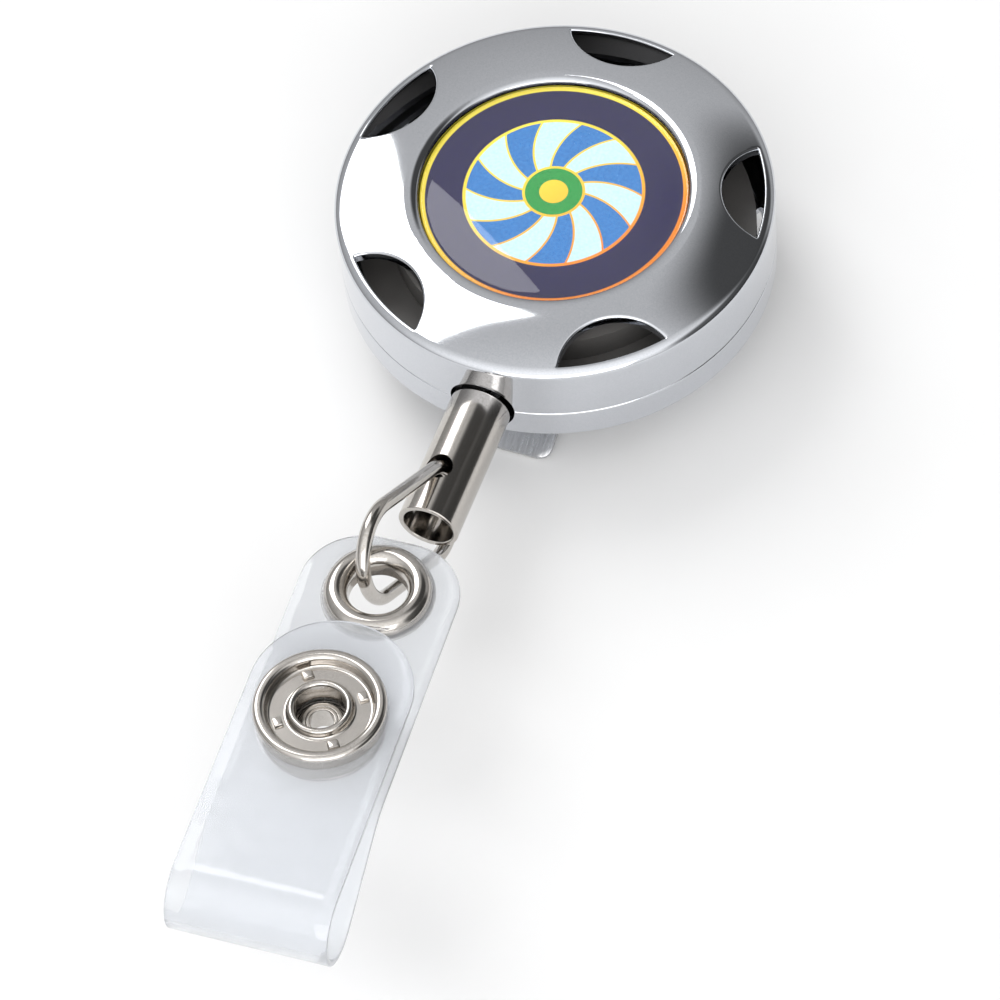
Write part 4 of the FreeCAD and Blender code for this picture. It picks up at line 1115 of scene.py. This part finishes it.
def cord_lead():
    """The cord from its winding, through the nozzle, to the bead in the sleeve."""
    start, corner = Vector((9.2, -7.1, SEAM)), Vector((0, -19.1, SEAM))
    end = Vector((0, bead_centre.y + 0.9, SEAM))
    a, b = corner.lerp(start, 0.3), corner.lerp(end, 0.6)
    path = [start.lerp(a, i / 8) for i in range(8)]
    path += [(1 - t) ** 2 * a + 2 * t * (1 - t) * corner + t**2 * b for t in (i / 10 for i in range(11))]
    path += [b.lerp(end, i / 24) for i in range(1, 25)]
    return swept_tube("pull_cord_lead", [tuple(p) for p in path], 0.4, cord_braid, False, 16)


def add_cord_uv(piece, centre_of):
    """UV in millimetres: along the cord and round it."""
    mesh = piece.data
    layer = mesh.uv_layers.new(name="UVMap")
    for loop in mesh.loops:
        co = mesh.vertices[loop.vertex_index].co / MM
        layer.data[loop.index].uv = centre_of(co)


lead = cord_lead()
add_cord_uv(lead, lambda co: (co.y, math.atan2(co.z - SEAM, co.x) * 0.4))
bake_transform(lead)
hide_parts("cord_lead")


def cord_knot():
    """Overhand knot that fills the bead's place: a ball lapped by two turns of cord."""
    outline = [(0, -1.15)] + [
        (1.15 * math.sin(t), -1.15 * math.cos(t)) for t in np.linspace(0.1, math.pi - 0.1, 18)
    ] + [(0, 1.15)]
    place = Matrix.Translation(bead_centre) @ QUARTER_TURN
    ball = turned("knot_core", outline, cord_braid, place, 32)
    angles = np.linspace(0, 2 * math.pi, 40, endpoint=False)
    loop = [(0.92 * math.cos(a), 0.92 * math.sin(a), 0.25 * math.sin(2 * a)) for a in angles]
    turns = []
    for tilt in (35, -35):
        turn = place @ Matrix.Rotation(math.radians(tilt), 4, "X")
        turns.append(swept_tube(f"knot_turn_{tilt}", loop, 0.4, cord_braid, True, 12, turn))
    return join("cord_end_knot", ball, *turns)


knot = cord_knot()
add_cord_uv(knot, lambda co: (co.y, co.x + co.z))
hand_over(knot, "cord_end", "cord_bead")

# ------------------------------------------------------------------ strap

STRAP_WIDTH = 14.2
STRAP_END = 5.6
SLOPE_AT = 21.5
LOOP_END = 35.4
SLOPE_DROP = (LOOP_END - SLOPE_AT) * math.tan(math.radians(23.2))
LOOP_R = (LAYER_RISE + SLOPE_DROP - 0.06) / (1 + 1 / math.tan(math.radians(45 - 11.6)))
FLAP_REACH = 9.6
FLAP_END = SNAP_AT - FLAP_REACH


def strap_line():
    """Side line of the whole strap: back layer, slope, loop, front layer."""
    return SidePath(
        run_with_arcs(
            [
                (STRAP_END, 0, 0),
                (-SLOPE_AT, 0, 2 * LOOP_R),
                (-LOOP_END, -SLOPE_DROP, LOOP_R),
                (-LOOP_END, LAYER_RISE, LOOP_R),
                (-FLAP_END, LAYER_RISE, 0),
            ]
        )
    )


whole_line = strap_line()
# The two pieces part at the loop's far end, in the middle of its short straight run.
LOOP_TIP = float(
    np.mean(whole_line.stations[np.abs(whole_line.points[:, 0] + LOOP_END) < 1e-3])
)


def strap_piece(name, first, last, start_round, end_round, caps, holes):
    """One stretch of the strap between two lengths along its side line."""
    strip = flat_strip(name, last - first, STRAP_WIDTH, VINYL, strap_vinyl, start_round, end_round, 0.4, caps)
    for s, radius in holes:
        cut(strip, round_cutter("strap_hole", s - first, radius, 2, strap_vinyl), 40)
    strip.data.transform(Matrix.Translation((0, first * MM, 0)))
    return bend_strip(strip, whole_line, strap_place)


back_strap = strap_piece(
    "strap_back_layer", 0, LOOP_TIP, 5.4, 0, (True, False), [(STRAP_END, 2.95), (STRAP_END + SNAP_AT, 1.4)]
)
flap_length = whole_line.length
front_strap = strap_piece(
    "strap_front_flap",
    LOOP_TIP,
    flap_length,
    0,
    STRAP_WIDTH / 2,
    (False, True),
    [(flap_length - FLAP_REACH, 2.5)],
)
hand_over(back_strap, "strap", "strap_back")
back_strap.visible_shadow = False
front_strap.visible_shadow = False


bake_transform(front_strap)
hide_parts("strap_flap")

# ------------------------------------------------------------------ eyelet and snap

HALF = VINYL / 2


def eyelet():
    """Brass eyelet: broad rolled front rim, barrel, end clinched over its washer."""
    roll = arc_points((2.6, HALF), (4.75, HALF), 1.1, 28)
    under = -HALF - WASHER
    outline = roll + [(4.7, HALF - 0.02), (3.1, HALF + 0.02), (3.05, HALF), (3.05, under)]
    outline += arc_points((3.55, under), (2.6, under - 0.3), 0.3, 10)
    return turned("eyelet_rolled", outline, barrel_polished_nickel_plate, strap_place, 144)


def washer():
    """Flat washer behind the strap that the eyelet is clinched over."""
    top = -HALF - 0.01
    low = top - WASHER + 0.02
    outline = rounded(
        [(3.06, low, 0.08), (5.0, low, 0.14), (5.0, top, 0.14), (3.06, top, 0.05)], 5
    )
    return turned("eyelet_washer_ring", outline, barrel_polished_nickel_plate, strap_place, 144)


SNAP_R = 5.7
CAP_BASE = LAYER_RISE + HALF
CAP_TOP = CAP_BASE + 1.5


def snap_ring():
    """Front ring of the snap: raised bead rim, sunk channel, inner tube through the flap."""
    outline = rounded(
        [
            (2.15, CAP_BASE - 0.9, 0.05),
            (2.53, CAP_BASE - 0.9, 0.05),
            (2.53, CAP_BASE, 0.02),
            (SNAP_R, CAP_BASE, 0.15),
            (SNAP_R, CAP_TOP, 0.42),
            (SNAP_R - 1.05, CAP_TOP, 0.45),
            (SNAP_R - 1.15, CAP_BASE + 0.4, 0.3),
            (2.8, CAP_BASE + 0.4, 0.3),
            (2.75, CAP_TOP - 0.35, 0.28),
            (2.15, CAP_TOP - 0.35, 0.3),
        ],
        8,
    )
    return turned("snap_front_ring", outline, barrel_polished_nickel_plate, snap_place, 144)


def channel_tabs():
    """Four short raised tabs in the snap's channel."""
    outline = [(-0.55, 0), (0.55, 0), (0.42, 0.35), (-0.42, 0.35)]
    points = []
    for y in (3.35, 4.15):
        points += [(x, y, CAP_BASE + 0.38 + z) for x, z in outline]
    faces = [(0, 1, 2, 3), (4, 7, 6, 5)] + [(i, 4 + i, 4 + (i + 1) % 4, (i + 1) % 4) for i in range(4)]
    tab = make_piece("snap_channel_tabs", points, faces, barrel_polished_nickel_plate)
    modify(tab, "BEVEL", width=0.09 * MM, segments=3)
    repeat(tab, barrel_polished_nickel_plate, 4, turn=math.pi / 2, weld=1e-7)
    place = snap_place.copy()
    place.translation = snap_place.translation * MM
    tab.data.transform(place @ Matrix.Rotation(math.radians(35), 4, "Z"))
    return tab


def snap_socket():
    """Socket pressed under the flap, with a rolled edge and the groove for its spring."""
    top = LAYER_RISE - HALF
    low = HALF + 0.5
    edge = SNAP_R - 0.45
    outline = rounded(
        [
            (2.4, low, 0.08),
            (edge, low, 0.28),
            (edge, top, 0.28),
            (2.56, top, 0.03),
            (2.56, top - 0.4, 0.03),
            (2.4, top - 0.4, 0.03),
            (2.4, low + 0.95, 0.03),
            (2.9, low + 0.95, 0.08),
            (2.9, low + 0.4, 0.08),
            (2.4, low + 0.4, 0.03),
        ],
        6,
    )
    return turned("snap_socket_ring", outline, barrel_polished_nickel_plate, snap_place, 144)


def snap_stud():
    """Stud riveted on the back layer: flange, neck and rounded head."""
    top = HALF + 1.65
    outline = rounded(
        [
            (1.4, HALF, 0),
            (SNAP_R - 0.45, HALF, 0.1),
            (SNAP_R - 0.45, HALF + 0.4, 0.2),
            (1.85, HALF + 0.4, 0.12),
            (2.05, HALF + 1.0, 0.3),
            (1.9, top, 0.35),
            (1.4, top, 0.05),
        ],
        6,
    )
    return turned("snap_stud_flange", outline, barrel_polished_nickel_plate, snap_place, 144)


def snap_post():
    """Rear post: domed flange behind the back layer and a hollow stem inside the stud."""
    outline = rounded(
        [
            (1.05, -HALF - 0.4, 0.15),
            (4.8, -HALF - 0.4, 0.3),
            (4.8, -HALF, 0.08),
            (1.39, -HALF, 0.02),
            (1.39, HALF + 1.65, 0.08),
            (1.05, HALF + 1.65, 0.08),
        ],
        6,
    )
    return turned("snap_rear_post", outline, barrel_polished_nickel_plate, snap_place, 144)


for piece, body, node in (
    (eyelet(), "strap", "eyelet"),
    (washer(), "strap", "eyelet_washer"),
    (snap_stud(), "strap", "snap_stud"),
    (snap_post(), "strap", "snap_post"),
    (snap_ring(), "flap", "snap_cap"),
    (snap_socket(), "flap", "snap_socket"),
    (channel_tabs(), "flap", None),
):
    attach(piece, body)
    if node:
        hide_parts(node)

# ------------------------------------------------------------------ carried-over CAD nodes

FINISHES = {
    "front_liner": charcoal_moulded_abs,
    "back_liner": charcoal_moulded_abs,
    "spool": natural_moulded_acetal,
    "spring_cover": natural_moulded_acetal,
    "spool_post": barrel_polished_nickel_plate,
    "power_spring": spring_strip,
    "cord_winding": cord_braid,
    "socket_spring": clip_steel,
}
for node, material in FINISHES.items():
    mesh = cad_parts[node].data
    mesh.materials.clear()
    mesh.materials.append(material)

# ------------------------------------------------------------------ floor, light, camera


def pale_floor():
    """Plain pale floor under the clip's tongue."""
    material, tree = start_material("matt_white_table")
    place = add(tree, "ShaderNodeTexCoord").outputs["Object"]
    fine = noise(tree, place, 20, 2.0)
    tone = ramp(tree, fine, [(0.3, grey(0.86)), (0.7, grey(0.88))])
    shader = add(tree, "ShaderNodeBsdfPrincipled", {"Base Color": tone, "Roughness": 0.85})
    end_material(tree, shader.outputs["BSDF"])
    low = cad_box[0].z / MM - 0.2
    size = 3000
    points = [(-size, -size, low), (size, -size, low), (size, size, low), (-size, size, low)]
    floor = make_piece("floor", points, [(0, 1, 2, 3)], material)
    if floor.data.polygons[0].normal.z < 0:
        floor.data.flip_normals()


def softbox(name, direction, distance, width, height, power, target):
    """Large soft area light that faces the target from a direction."""
    data = bpy.data.lights.new(name, "AREA")
    data.shape = "RECTANGLE"
    data.size, data.size_y = width * MM, height * MM
    data.energy = power
    light = bpy.data.objects.new(name, data)
    bpy.context.scene.collection.objects.link(light)
    out = Vector(direction).normalized()
    light.location = Vector(target) + out * distance * MM
    light.rotation_mode = "QUATERNION"
    light.rotation_quaternion = (-out).to_track_quat("-Z", "Y")


def studio_sky():
    """White tent: bright overhead, softer towards the horizon, dark flags behind and at the right."""
    world = bpy.data.worlds.new("white_tent")
    bpy.context.scene.world = world
    world.use_nodes = True
    tree = world.node_tree
    tree.nodes.clear()
    way = add(tree, "ShaderNodeTexCoord").outputs["Generated"]

    def towards(direction, start, end, low, high):
        """Brightness from low to high as the direction nears the given one."""
        out = Vector(direction).normalized()
        along = add(tree, "ShaderNodeVectorMath", {0: way, 1: out}, operation="DOT_PRODUCT").outputs["Value"]
        node = add(
            tree,
            "ShaderNodeMapRange",
            {"Value": along, "From Min": start, "From Max": end, "To Min": low, "To Max": high},
            interpolation_type="SMOOTHSTEP",
        )
        return node.outputs["Result"]

    height = towards((0, 0, 1), -0.1, 0.95, 0.42, 0.8)
    front = towards((0.3, -0.8, 0.5), 0.2, 0.9, 0.85, 1.9)
    flag = towards((0.3, 0.6, 0.74), 0.9, 0.97, 1.0, 0.12)
    side_flag = towards((0.93, 0.21, 0.38), 0.8, 0.93, 1.0, 0.15)
    lit = add(tree, "ShaderNodeMath", {0: height, 1: front}, operation="MULTIPLY").outputs[0]
    flagged = add(tree, "ShaderNodeMath", {0: lit, 1: flag}, operation="MULTIPLY").outputs[0]
    shaded = add(tree, "ShaderNodeMath", {0: flagged, 1: side_flag}, operation="MULTIPLY").outputs[0]
    background = add(tree, "ShaderNodeBackground", {"Color": grey(1.0), "Strength": shaded})
    output = add(tree, "ShaderNodeOutputWorld")
    tree.links.new(background.outputs["Background"], output.inputs["Surface"])


def camera():
    """Long lens from above the cord's side, a little to the right, turned slightly."""
    azimuth, elevation, roll = (math.radians(a) for a in (24.3, 53.3, -5.5))
    level = Vector((math.sin(azimuth), -math.cos(azimuth), 0))
    back = level * math.cos(elevation) + Vector((0, 0, math.sin(elevation)))
    right = Vector((math.cos(azimuth), math.sin(azimuth), 0))
    up = back.cross(right)
    side = right * math.cos(roll) + up * math.sin(roll)
    top = up * math.cos(roll) - right * math.sin(roll)
    # The aim leaves the case right of and above the middle of the frame.
    forward = (-back - side * 0.01153 - top * 0.05324).normalized()
    y_axis = (top - forward * top.dot(forward)).normalized()
    x_axis = forward.cross(y_axis)
    data = bpy.data.cameras.new("camera")
    data.sensor_width = 36
    data.lens = 180
    data.clip_start = 0.01
    data.clip_end = 20
    eye = bpy.data.objects.new("camera", data)
    bpy.context.scene.collection.objects.link(eye)
    turn = Matrix((x_axis, y_axis, -forward)).transposed().to_4x4()
    eye.matrix_world = Matrix.Translation((0, 0, SEAM * MM)) @ Matrix.Translation(back * 0.4575) @ turn
    bpy.context.scene.camera = eye


pale_floor()
middle = (0, -0.02, 0.005)
softbox("key_softbox", (-0.55, 0.34, 0.76), 600, 260, 420, 1.3, middle)
softbox("fill_softbox", (0.35, -0.85, 0.5), 700, 700, 500, 2.1, middle)
studio_sky()
camera()
bpy.context.scene.view_settings.view_transform = "Standard"
bpy.context.scene.view_settings.look = "None"
